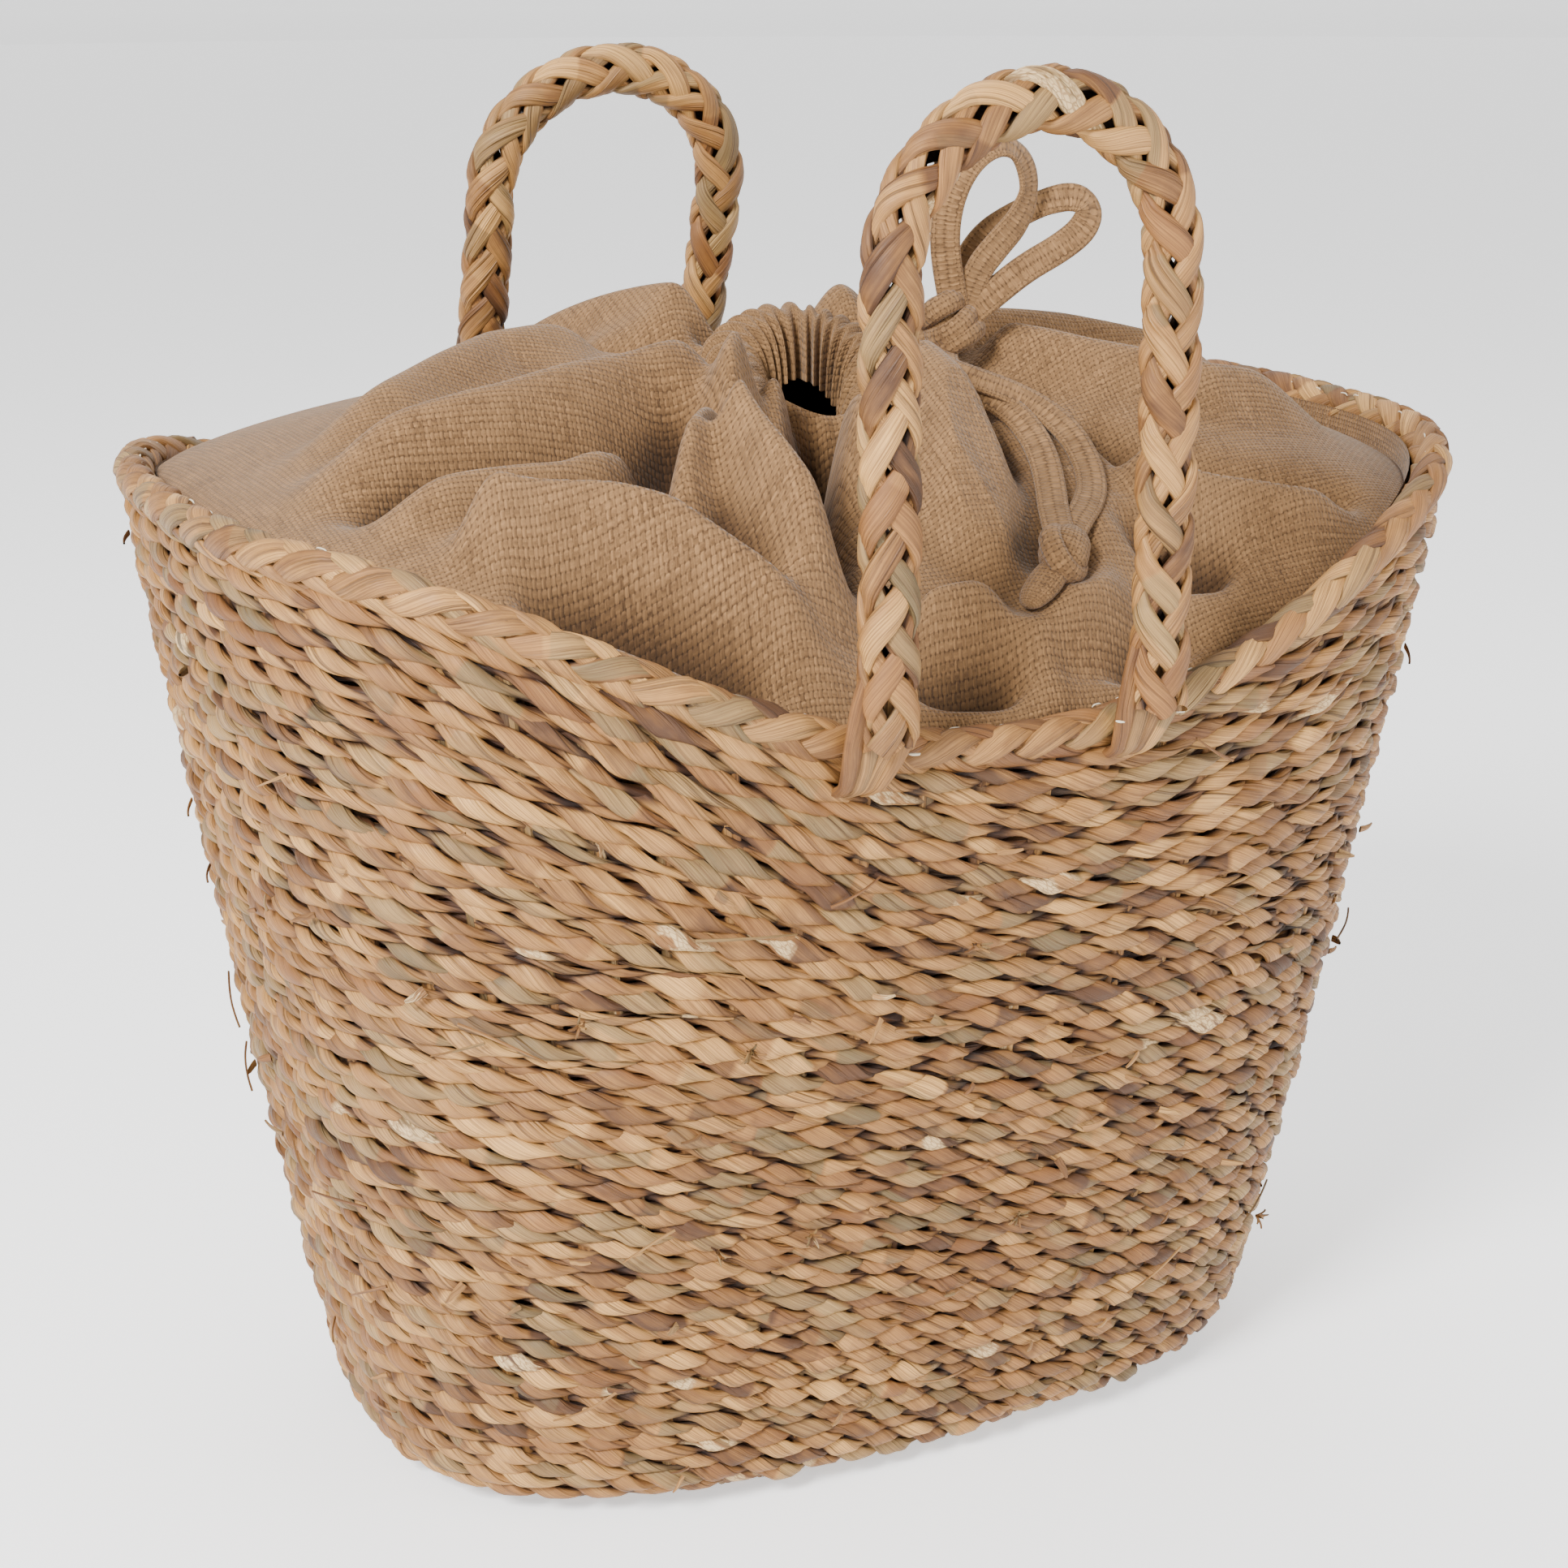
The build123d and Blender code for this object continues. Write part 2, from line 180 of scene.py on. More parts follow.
def add_mesh(name, blocks, material):
    """One smooth mesh object made of several grids of quads."""
    vertices, faces, corner_uvs, tints = [], [], [], []
    offset = 0
    for block in blocks:
        rows, columns = block["points"].shape[:2]
        i, j = np.meshgrid(np.arange(rows - 1 + block["closed"]), np.arange(columns), indexing="ij")
        i, j = i.ravel(), j.ravel()
        rounds = ((i, j), (i, j + 1), (i + 1, j + 1), (i + 1, j))
        faces.append(np.stack([offset + (r % rows) * columns + c % columns for r, c in rounds], 1))
        corner_uvs.append(np.stack([block["uv"][r, c] for r, c in rounds], 1))
        vertices.append(block["points"].reshape(-1, 3))
        tints.append(block["tint"].reshape(-1, 4))
        offset += rows * columns
    vertices = np.concatenate(vertices)
    faces = np.concatenate(faces)
    mesh = bpy.data.meshes.new(name)
    mesh.vertices.add(len(vertices))
    mesh.vertices.foreach_set("co", vertices.astype(np.float32).ravel())
    mesh.loops.add(faces.size)
    mesh.loops.foreach_set("vertex_index", faces.astype(np.int32).ravel())
    mesh.polygons.add(len(faces))
    mesh.polygons.foreach_set("loop_start", np.arange(0, faces.size, 4, dtype=np.int32))
    mesh.polygons.foreach_set("use_smooth", np.ones(len(faces), bool))
    layer = mesh.uv_layers.new(name="along")
    layer.data.foreach_set("uv", np.concatenate(corner_uvs).astype(np.float32).ravel())
    # Tone, hue and paleness per point, and in alpha a painted-shade factor (1 is unshaded).
    colours = mesh.attributes.new("leaf", "FLOAT_COLOR", "POINT")
    colours.data.foreach_set("color", np.concatenate(tints).astype(np.float32).ravel())
    mesh.update(calc_edges=True)
    mesh.validate()
    mesh.materials.append(material)
    return put_in_scene(name, mesh)


def circle(count):
    """Angles evenly spaced round a full turn."""
    return np.arange(count) / count * tau


def signed_power(value, power):
    return np.sign(value) * np.abs(value) ** power


def surface_map(rows, columns):
    """Surface coordinates of a grid from those of its rows and its columns."""
    return np.stack(np.meshgrid(rows, columns, indexing="ij"), -1)


def across_line(line, wide, across, thick, through):
    """Points round a line: across and through are the steps along two directions."""
    return line[:, None, :] + wide[:, None, :] * across[..., None] + thick[:, None, :] * through[..., None]


def run_of(line, closed=False):
    """Distance along a line at each of its points, and once more round if it is closed."""
    steps = np.linalg.norm(np.diff(line, axis=0, append=line[:1]), axis=1)
    return np.concatenate([[0], np.cumsum(steps)])[: len(line) + closed]


def strip_frame(line, face, closed=False):
    """Directions across a line and out of its face, for the way that its face looks."""
    along = tangents(line, closed)
    wide = unit(np.cross(along, face))
    return wide, unit(np.cross(wide, along))


def wander(rng, count, step, closed=True):
    """Smooth random curve of count values that changes every step values, from -1 to 1."""
    knots = max(int(round(count / step)), 4)
    values = rng.uniform(-1, 1, knots)
    places = np.arange(count) / count * knots
    base = np.floor(places).astype(int)
    share = soft_step(places - base)
    following = (base + 1) % knots if closed else np.minimum(base + 1, knots - 1)
    return values[base % knots] * (1 - share) + values[following] * share


def soft_step(value):
    value = np.clip(value, 0, 1)
    return value * value * (3 - 2 * value)


# Shape of the wall
def half_axes(height, inset):
    """Half length and half width of the wall at a height, moved inwards by inset."""
    height = np.asarray(height, float)
    lean = (np.maximum(height, 0) / END_HEIGHT) ** TAPER_POWER
    drop = np.clip(EDGE_RADIUS - height, 0, EDGE_RADIUS)
    under = EDGE_RADIUS - np.sqrt(EDGE_RADIUS**2 - drop**2)
    return [foot + (rim - foot) * lean - under - inset for foot, rim in zip(FOOT_HALF, RIM_HALF)]


def oval(angle, half_x, half_y, power=PLAN_POWER):
    stretch = np.abs(np.cos(angle) / half_x) ** power + np.abs(np.sin(angle) / half_y) ** power
    radius = stretch ** (-1 / power)
    return radius * np.cos(angle), radius * np.sin(angle)


def wall_reach(x, height):
    """Distance from the middle plane to the long side of the wall."""
    half_x, half_y = half_axes(height, 0)
    return half_y * (1 - np.abs(x / half_x) ** PLAN_POWER) ** (1 / PLAN_POWER)


def saddle(x):
    """0 at the middle of the basket, 1 at its ends."""
    share = np.minimum(np.abs(x) / RIM_HALF[0], 1)
    return (1 - np.cos(pi * share**SADDLE_POWER)) / 2


def wall_point(angle, height, inset):
    x, y = oval(angle, *half_axes(height, inset))
    return np.stack([x, y, np.broadcast_to(height, x.shape)], -1)


def angle_table():
    """Polar angle for each place along the outline, counted in stakes."""
    fine = np.linspace(0, tau, 4001)
    x, y = oval(fine, *half_axes(MID_HEIGHT / 2, 0))
    lengths = np.concatenate([[0], np.cumsum(np.hypot(np.diff(x), np.diff(y)))])
    return lengths / lengths[-1] * STAKE_COUNT, fine


STAKE_PLACES, STAKE_ANGLES = angle_table()


def stake_angle(place):
    """Polar angle at a place counted in stakes; stake k stands at k + 0.5."""
    return np.interp(np.mod(place, STAKE_COUNT), STAKE_PLACES, STAKE_ANGLES)


def saddle_line(angle, height_of_x, inset):
    """Points of the wall at a height that depends on the distance along the basket."""
    height = height_of_x(np.zeros_like(angle))
    for _ in range(5):
        point = wall_point(angle, height, inset)
        height = height_of_x(point[:, 0])
    return wall_point(angle, height, inset)


def wall_frame(line, closed):
    """Directions up the wall and out of it along a line of its points."""
    along = tangents(line, closed)
    angle = np.arctan2(line[:, 1], line[:, 0])
    above = wall_point(angle, line[:, 2] + 0.002, 0) - wall_point(angle, line[:, 2], 0)
    up = unit(above - (above * along).sum(-1, keepdims=True) * along)
    out = unit(np.cross(up, along))
    facing = np.sign((out[:, :2] * line[:, :2]).sum(-1, keepdims=True))
    return up, out * facing


def course_edges(row, short):
    """Lower and upper edge of a full course, or of the short one above it, as a function of x."""
    rise = np.clip(row - FIRST_SHORT, 0, SHORT_COURSES) * SHORT_PITCH
    opens = FIRST_SHORT <= row < FIRST_SHORT + SHORT_COURSES

    def edges(x):
        low = BASE_THICKNESS + row * PITCH + rise * saddle(x)
        room = opens * SHORT_PITCH * saddle(x)
        share = soft_step((np.abs(x) - SHORT_START) / SHORT_BLEND)
        middle = low + PITCH + room * (1 - share)
        return (middle, middle + room * share) if short else (low, middle)

    return edges


# Leaf strands
STRAND_SECTION = 16
LEAF_SETS = 3
LEAF_GIRTH = 0.024
# Metres that a twined strand stands out at a stake, strays sideways, and strays up or down
TWINE_PROUD = 0.0023
TWINE_STRAY = 0.0010
TWINE_BOB = 0.0009
# Distance out of the wall's middle at which a strand's painted shade has faded out
TWINE_LIT = 0.0046


def patches(rng, rows, change):
    """Number of the patch that each row belongs to; patches are change to 3 * change rows long."""
    breaks = np.cumsum(rng.integers(change, 3 * change, rows // change + 2))
    return np.searchsorted(breaks, np.arange(rows) + rng.integers(0, change))


def leaf_tints(rng, rows, columns, change):
    """Tone, hue, paleness and painted shade (1 is unshaded) for each place on a strand of folded leaves.
    """
    leaf_of_column = (np.arange(columns) * LEAF_SETS) // columns
    tint = np.ones((rows, columns, 4))
    bundle = patches(rng, rows, change)
    tone = rng.normal(0.50, 0.17, bundle.max() + 1)[bundle]
    hue = rng.beta(2.0, 2.0, bundle.max() + 1)[bundle]
    pale = (rng.random(bundle.max() + 1) < 0.010)[bundle]
    for leaf in range(LEAF_SETS):
        chosen = leaf_of_column == leaf
        patch = patches(rng, rows, 2 * change)
        tint[:, chosen, 0] = (tone + rng.normal(0, 0.09, patch.max() + 1)[patch])[:, None]
        tint[:, chosen, 1] = np.clip(hue + rng.normal(0, 0.10, patch.max() + 1)[patch], 0, 1)[:, None]
        tint[:, chosen, 2] = pale[:, None]
    return tint


def strand_block(rng, centre, wide, thick, width, depth, closed, change, drift=0.5, rough=1.0):
    """Grid round a strand of folded leaves. wide and thick are unit directions across it."""
    rows = len(centre)
    columns = STRAND_SECTION
    turn = circle(columns)
    twist = drift * wander(rng, rows, 30, closed) + rng.uniform(0, tau)
    angle = turn[None, :] + twist[:, None]
    crease = np.zeros((rows, columns))
    saw = (np.arange(columns) * LEAF_SETS / columns) % 1.0
    for column in range(columns):
        crease[:, column] = 0.07 * wander(rng, rows, 14, closed) + 0.10 * (saw[column] - 0.5)
    radius = 1 + rough * crease
    across = signed_power(np.cos(angle), 0.85) * radius
    through = signed_power(np.sin(angle), 0.95) * radius
    width, depth = np.broadcast_to(width, rows)[:, None], np.broadcast_to(depth, rows)[:, None]
    points = across_line(centre, wide, across * width, thick, through * depth)
    girth = np.arange(columns + 1) / columns * LEAF_GIRTH
    uv = surface_map(run_of(centre, closed) + rng.uniform(0, 9), girth + rng.uniform(0, 9))
    tint = leaf_tints(rng, rows, columns, change)
    # Painted shade: the edges of each strand, where it meets its neighbours, are darkened.
    tint[..., 3] = 0.45 + 0.55 * np.minimum(np.abs(through), 1) ** 0.7
    return grid_block(points, closed, uv, tint)


def twined_blocks(rng, line, up, out, phase, half_height, closed, per_stake):
    """The two strands of a twined row, half a turn for each stake."""
    rows = len(line)
    blocks = []
    for strand in range(2):
        turn = phase + pi * strand + 0.34 * wander(rng, rows, per_stake, closed)
        size = 1 + 0.24 * wander(rng, rows, per_stake, closed)
        bob = TWINE_BOB * wander(rng, rows, 1.3 * per_stake, closed)
        front = np.cos(turn)
        radial = unit(out * front[:, None] + up * np.sin(turn)[:, None])
        middle = (
            line
            + out * (TWINE_PROUD * front + TWINE_STRAY * wander(rng, rows, per_stake, closed))[:, None]
            + up * (0.66 * half_height * np.sin(turn) + bob)[:, None]
        )
        wide, thick = strip_frame(middle, radial, closed)
        swell = 0.74 + 0.34 * np.abs(front) ** 1.2
        width = 1.12 * half_height * swell * size
        depth = 0.74 * np.minimum(half_height, 0.0032) * (0.8 + 0.25 * np.abs(front)) * size
        block = strand_block(rng, middle, wide, thick, width, depth, closed, per_stake)
        # Painted shade: the parts of each strand that lie near the wall's middle, between the stakes and
        # under the other strand, are darkened.
        proud = np.abs(((block["points"] - line[:, None, :]) * out[:, None, :]).sum(-1)) / TWINE_LIT
        block["tint"][..., 3] *= soft_step((proud - 0.05) / 0.80)
        blocks.append(block)
    return blocks


def sinnet_blocks(rng, line, side, face, pitch, half_width, half_depth, strand_width, closed, pairs=4):
    """Square plait: pairs strands turn one way, as many the other, and each face shows two columns."""
    rows = len(line)
    run = run_of(line, closed)
    total = run[-1]
    turns = max(round(total / pitch), 1)
    base = run[:rows] / total * turns * tau
    bump = 0.018 / (total / rows)
    blocks = []
    for strand in range(2 * pairs):
        way = 1 if strand < pairs else -1
        turn = way * (base + 0.16 * wander(rng, rows, bump, closed)) + tau * (strand % pairs) / pairs
        turn = turn + (pi / pairs if way < 0 else 0)
        wave = np.sin(2 * turn + 0.35 * way)
        over = way * signed_power(wave, 0.6)
        spread = 1 + 0.17 * over
        size = 1 + 0.13 * wander(rng, rows, bump, closed)
        middle = (
            line
            + side * (half_width * spread * np.sin(turn))[:, None]
            + face * (half_depth * spread * np.cos(turn))[:, None]
        )
        radial = unit(side * np.sin(turn)[:, None] + face * np.cos(turn)[:, None])
        wide, thick = strip_frame(middle, radial, closed)
        width = strand_width * size * (0.90 + 0.16 * over)
        depth = 0.52 * strand_width * size
        change = max(int(1.6 * bump), 2)
        block = strand_block(rng, middle, wide, thick, width, depth, closed, change, 0.8)
        # Painted shade: the parts of each strand that lie inside the plait, near its middle line, are
        # darkened.
        offset = block["points"] - line[:, None, :]
        aside = (offset * side[:, None, :]).sum(-1) / (1.17 * half_width + 0.5 * strand_width)
        ahead = (offset * face[:, None, :]).sum(-1) / (1.17 * half_depth + 0.5 * strand_width)
        block["tint"][..., 3] *= soft_step((np.hypot(aside, ahead) - 0.40) / 0.58)
        blocks.append(block)
    return blocks


# Materials
class Nodes:
    """Short names for building a node tree."""

    def __init__(self, name):
        self.material = bpy.data.materials.new(name)
        self.material.use_nodes = True
        self.tree = self.material.node_tree
        self.shader = self.tree.nodes["Principled BSDF"]
        self.uv = self.add("ShaderNodeUVMap", [("uv_map", "along")]).outputs[0]
        self.leaf = self.add("ShaderNodeAttribute", [("attribute_name", "leaf")])

    def add(self, kind, settings=(), **inputs):
        node = self.tree.nodes.new(kind)
        for key, value in settings:
            setattr(node, key, value)
        for key, value in inputs.items():
            numbered = key[0] == "i" and key[1:].isdigit()
            self.feed(value, node.inputs[int(key[1:]) if numbered else key])
        return node

    def feed(self, value, socket):
        """Link or set an input. Three numbers for a colour are a display colour of 0 to 255."""
        if isinstance(value, bpy.types.NodeSocket):
            self.tree.links.new(value, socket)
        elif socket.type == "RGBA" and len(value) == 3:
            socket.default_value = colour(*value)
        else:
            socket.default_value = value

    def surface(self, inputs):
        for name, value in inputs.items():
            self.feed(value, self.shader.inputs[name])

    def ramp(self, share, *stops):
        """Colour ramp through stops, each a place and a display colour."""
        node = self.add("ShaderNodeValToRGB", Fac=share)
        marks = node.color_ramp.elements
        marks[0].position, marks[1].position = stops[0][0], stops[-1][0]
        for place, _ in stops[1:-1]:
            marks.new(place)
        for mark, (_, tint) in zip(marks, stops):
            mark.color = colour(*tint)
        return node.outputs[0]

    def math(self, operation, a, b=0.0):
        return self.add("ShaderNodeMath", [("operation", operation)], i0=a, i1=b).outputs[0]

    def times(self, a, b):
        return self.math("MULTIPLY", a, b)

    def remap(self, value, low, high, to_low=0.0, to_high=1.0):
        node = self.add("ShaderNodeMapRange", [("interpolation_type", "SMOOTHSTEP")])
        for socket, number in zip(node.inputs, (value, low, high, to_low, to_high)):
            self.feed(number, socket)
        return node.outputs[0]

    def mix(self, share, a, b, blend="MIX"):
        node = self.tree.nodes.new("ShaderNodeMix")
        node.data_type = "RGBA"
        node.blend_type = blend
        self.feed(share, node.inputs[0])
        self.feed(a, node.inputs[6])
        self.feed(b, node.inputs[7])
        return node.outputs[2]

    def noise(self, vector, scale, detail=2.0, roughness=0.5):
        numbers = {"Scale": scale, "Detail": detail, "Roughness": roughness}
        return self.add("ShaderNodeTexNoise", Vector=vector, **numbers).outputs["Fac"]

    def stretched(self, vector, x, y, z=1.0):
        node = self.add("ShaderNodeVectorMath", [("operation", "MULTIPLY")], i0=vector, i1=(x, y, z))
        return node.outputs[0]

    def grain(self, x, y, detail=2.0, roughness=0.5):
        """Noise over the surface, x and y cycles a metre along and across it."""
        return self.noise(self.stretched(self.uv, x, y), 1.0, detail, roughness)

    def bump(self, height, distance, strength=1.0):
        bump = self.add("ShaderNodeBump", Height=height, Distance=distance, Strength=strength)
        self.feed(bump.outputs[0], self.shader.inputs["Normal"])


def colour(red, green, blue):
    """Linear colour from a display colour of 0 to 255."""
    parts = [channel / 255 for channel in (red, green, blue)]
    return (*[c / 12.92 if c < 0.04045 else ((c + 0.055) / 1.055) ** 2.4 for c in parts], 1)


def seagrass_material(name):
    """Dried seagrass leaves: long veins, creases, tan to greenish grey, a few netted pale patches, and
    painted shade from the leaf attribute's alpha.
    """
    n = Nodes(name)
    parts = n.add("ShaderNodeSeparateColor", Color=n.leaf.outputs["Color"])
    tone, hue, pale = parts.outputs[0], parts.outputs[1], parts.outputs[2]
    veins = n.grain(22, 2600, 3.0, 0.6)
    creases = n.grain(14, 520, 2.0, 0.5)
    blotch = n.grain(60, 160, 3.0, 0.6)
    specks = n.grain(500, 900, 2.0, 0.5)
    shade = n.math("ADD", tone, n.times(n.math("SUBTRACT", blotch, 0.5), 0.7))
    tan = n.ramp(
        shade, (0.10, (70, 42, 18)), (0.32, (120, 80, 38)), (0.58, (160, 114, 60)), (0.92, (198, 150, 86))
    )
    green = n.mix(n.remap(hue, 0.42, 0.15), tan, (122, 108, 70))
    green = n.mix(0.55, tan, green)
    red = n.mix(n.remap(hue, 0.60, 0.92, 0.0, 0.55), green, (132, 84, 40))
    veined = n.mix(n.remap(veins, 0.35, 0.62, 0.62, 0.0), red, (74, 44, 20))
    creased = n.mix(n.remap(creases, 0.30, 0.42, 0.55, 0.0), veined, (58, 35, 18))
    speckled = n.mix(n.remap(specks, 0.70, 0.78, 0.0, 0.5), creased, (60, 36, 19))
    net_place = n.stretched(n.uv, 380, 900)
    net = n.add("ShaderNodeTexVoronoi", [("feature", "DISTANCE_TO_EDGE")], Vector=net_place, Scale=1.0)
    netting = n.remap(net.outputs["Distance"], 0.02, 0.14)
    pale_cover = n.times(pale, n.remap(blotch, 0.42, 0.52))
    pale_tint = n.mix(netting, (150, 118, 78), (196, 166, 120))
    leafy = n.mix(pale_cover, speckled, pale_tint)
    # Painted shade: where the leaf attribute's alpha is low, the colour is darkened to a near-black brown.
    painted_recess_shade = n.mix(1.0, leafy, (0.17, 0.12, 0.09, 1), "MULTIPLY")
    final = n.mix(n.remap(n.leaf.outputs["Alpha"], 0.05, 0.62), painted_recess_shade, leafy)
    roughness = n.remap(veins, 0.3, 0.7, 0.66, 0.50)
    n.surface({"Base Color": final, "Roughness": roughness, "Specular IOR Level": 0.38})
    height = n.math("ADD", n.times(veins, 0.35), n.remap(creases, 0.28, 0.46))
    n.bump(height, 0.0009, 0.8)
    return n.material


CLOTH_YARN = 0.0018


def cloth_material(name, yarn=CLOTH_YARN):
    """Coarse plain-weave cloth: over and under yarns with dark pores and slubs, and painted shade from the
    leaf attribute's alpha.
    """
    n = Nodes(name)
    sway = n.noise(n.uv, 25.0, 2.0, 0.5)
    shift = n.stretched(n.add("ShaderNodeCombineXYZ", X=sway, Y=sway, Z=0.0).outputs[0], 0.0012, -0.0012)
    bent = n.add("ShaderNodeVectorMath", [("operation", "ADD")], i0=n.uv, i1=shift).outputs[0]
    split = n.add("ShaderNodeSeparateXYZ", Vector=bent)
    warp = n.times(split.outputs[0], pi / yarn)
    weft = n.times(split.outputs[1], pi / yarn)
    warp_wave = n.math("SINE", warp)
    weft_wave = n.math("SINE", weft)
    on_top = n.math("GREATER_THAN", n.times(warp_wave, weft_wave), 0.0)
    warp_size = n.math("ABSOLUTE", warp_wave)
    weft_size = n.math("ABSOLUTE", weft_wave)
    warp_up = n.times(warp_size, n.math("POWER", weft_size, 0.35))
    weft_up = n.times(weft_size, n.math("POWER", warp_size, 0.35))
    weft_on_top = n.math("SUBTRACT", 1.0, on_top)
    height = n.math("ADD", n.times(warp_up, on_top), n.times(weft_up, weft_on_top))
    fuzz = n.noise(n.uv, 2600.0, 3.0, 0.6)
    slub = n.mix(on_top, n.grain(60, 900), n.grain(900, 60))
    wear = n.noise(n.uv, 14.0, 3.0, 0.6)
    tone = n.ramp(slub, (0.25, (74, 52, 32)), (0.75, (146, 110, 72)))
    worn = n.mix(n.remap(wear, 0.35, 0.7, 0.0, 0.35), tone, (126, 96, 64))
    pore = n.times(n.math("SUBTRACT", 1.0, warp_size), n.math("SUBTRACT", 1.0, weft_size))
    lines = n.mix(n.remap(height, 0.02, 0.30, 0.30, 0.0), worn, (84, 60, 40))
    pores = n.mix(n.remap(pore, 0.16, 0.60, 0.0, 0.62), lines, (40, 26, 15))
    fibres = n.mix(n.remap(fuzz, 0.55, 0.75, 0.0, 0.25), pores, (190, 158, 116))
    # Painted shade: where the leaf attribute's alpha is low, in the valleys of the folds, the cloth is
    # darkened.
    painted_fold_shade = n.mix(1.0, fibres, (0.15, 0.12, 0.10, 1), "MULTIPLY")
    final = n.mix(n.leaf.outputs["Alpha"], painted_fold_shade, fibres)
    n.surface({"Base Color": final, "Roughness": 0.88, "Specular IOR Level": 0.18})
    n.surface({"Sheen Weight": 0.12, "Sheen Roughness": 0.45})
    rough = n.math("ADD", height, n.times(fuzz, 0.35))
    n.bump(rough, 0.0006, 0.5)
    return n.material


def thread_material():
    n = Nodes("sewing_thread")
    ply = n.grain(1800, 1800)
    n.surface({"Base Color": n.mix(ply, (176, 160, 134), (214, 202, 180)), "Roughness": 0.8})
    n.bump(ply, 0.0002)
    return n.material


seagrass = seagrass_material("seagrass")
cloth = cloth_material("liner_cloth")
tape_cloth = cloth_material("drawstring_tape", 0.0016)
thread = thread_material()


def add_piece(name, blocks, material, body, slot, *nodes):
    """A mesh piece that rides on one body, in place of CAD nodes if any are named."""
    piece = add_mesh(name, blocks, material)
    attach(piece, body)
    if nodes:
        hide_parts(*nodes)
    return piece


# Woven wall
PER_STAKE = 10


def make_course(node, seed, row, places, reach=None):
    """Two neighbouring twined rows: all the way round, or only beyond reach at one end."""
    rng = np.random.default_rng(seed)
    closed = reach is None
    edges = course_edges(row, not closed)
    blocks = []
    for half in (0.25, 0.75):

        def middle_height(x):
            low, high = edges(x)
            return low + (high - low) * half

        line, place = saddle_line(stake_angle(places), middle_height, COURSE_DEPTH / 2), places
        if closed:
            lag = 0.5 * (half > 0.5)
            low, high = edges(line[:, 0])
            line[:, 2] += 0.0008 * wander(rng, len(place), 30)
        else:
            lag = half
            kept = np.abs(line[:, 0]) > reach
            line, place = line[kept], places[kept]
            low, high = edges(line[:, 0])
        half_height = np.maximum((high - low) / 4, 0.0006)
        up, out = wall_frame(line, closed)
        phase = -pi * (place + lag + 0.25 * wander(rng, len(place), 60, closed))
        blocks += twined_blocks(rng, line, up, out, phase, half_height, closed, PER_STAKE)
    add_piece(node + "_weave", blocks, seagrass, "basket", "seagrass", node)


def make_wall():
    """Full courses all the way up, and short ones that build up each end of the saddle."""
    samples = STAKE_COUNT * PER_STAKE
    for index in range(FULL_COURSES):
        make_course(f"weft_course_{index + 1:02d}", 100 + index, index, np.arange(samples) / PER_STAKE)
    near = np.arange(-samples / 4, samples / 4) / PER_STAKE
    for index in range(SHORT_COURSES):
        for side, centre in enumerate((STAKE_COUNT / 2, 0)):
            node = f"short_course_{('left', 'right')[side]}_{index + 1}"
            seed = 300 + 2 * index + side
            make_course(node, seed, FIRST_SHORT + index, centre + near, SHORT_START - 0.002 * index)


make_wall()


def rim_line(angle, inset, drop):
    """Line along the rim, below its top by drop."""
    return saddle_line(angle, lambda x: MID_HEIGHT + FULL_RISE * saddle(x) - drop, inset)


def even_angles(count):
    """Polar angles evenly spaced along the outline."""
    return stake_angle(np.arange(count) / count * STAKE_COUNT)


BORDER_PITCH = 0.076


def make_border():
    """Thick square plait laid over the edge of the rim."""
    rng = np.random.default_rng(500)
    angle = even_angles(560)
    line = rim_line(angle, 0.0055, 0.0058)
    up, out = wall_frame(line, True)
    side = unit(up * 0.94 + out * 0.34)
    face = unit(out * 0.94 - up * 0.34)
    blocks = sinnet_blocks(rng, line, side, face, BORDER_PITCH, 0.0056, 0.0036, 0.0042, True)
    add_piece("rim_border_plait", blocks, seagrass, "basket", "seagrass", "rim_border")


make_border()


def make_stakes():
    """Upright bundles that the rows are twined around."""
    rng = np.random.default_rng(510)
    blocks = []
    rows = 44
    for stake in range(STAKE_COUNT):
        for half in (-1, 1):
            place = stake + 0.5 + half * 0.055
            angle = stake_angle(np.full(rows, place))
            top = rim_line(angle[:1].repeat(3), 0.005, 0.010)[0, 2]
            height = np.linspace(0.004, top, rows)
            line = wall_point(angle, height, 0.0046)
            sideways = wall_point(stake_angle(np.full(rows, place + 0.05)), height, 0.0046) - line
            along = tangents(line, False)
            thick = unit(np.cross(unit(sideways), along))
            wide = unit(np.cross(along, thick))
            line = line + wide * (0.0006 * wander(rng, rows, 6, False))[:, None]
            blocks.append(strand_block(rng, line, wide, thick, 0.0019, 0.0016, False, 15, 1.5))
            # Painted shade: the stakes, standing behind and between the rows, are darkened all over.
            blocks[-1]["tint"][..., 3] *= 0.45
    add_piece("warp_stake_bundles", blocks, seagrass, "basket", "seagrass", "warp_stakes")


make_stakes()


BASE_RINGS = 13
BASE_ROW = 0.008


def make_base():
    """Flat oval base of concentric twined rows."""
    rng = np.random.default_rng(520)
    blocks = []
    half_x, half_y = half_axes(0.004, 0)
    for ring in range(BASE_RINGS):
        inset = 0.010 + ring * BASE_ROW
        angle = even_angles(290 - 18 * ring)
        x, y = oval(angle, half_x - inset, max(half_y - inset, 0.004))
        line = np.stack([x, y, np.full_like(x, 0.0056)], -1)
        along = tangents(line, True)
        down = np.broadcast_to([0.0, 0.0, -1.0], line.shape)
        outward = unit(np.cross(down, along))
        stakes = STAKE_COUNT - 4 * (ring // 2)
        phase = -np.arange(len(x)) / len(x) * stakes * pi
        blocks += twined_blocks(rng, line, outward, down, phase, BASE_ROW / 2, True, 9)
    for block in blocks:
        block["points"][..., 2] = np.maximum(block["points"][..., 2], 0.0002)
    add_piece("woven_base_rows", blocks, seagrass, "basket", "seagrass", "woven_base")


make_base()


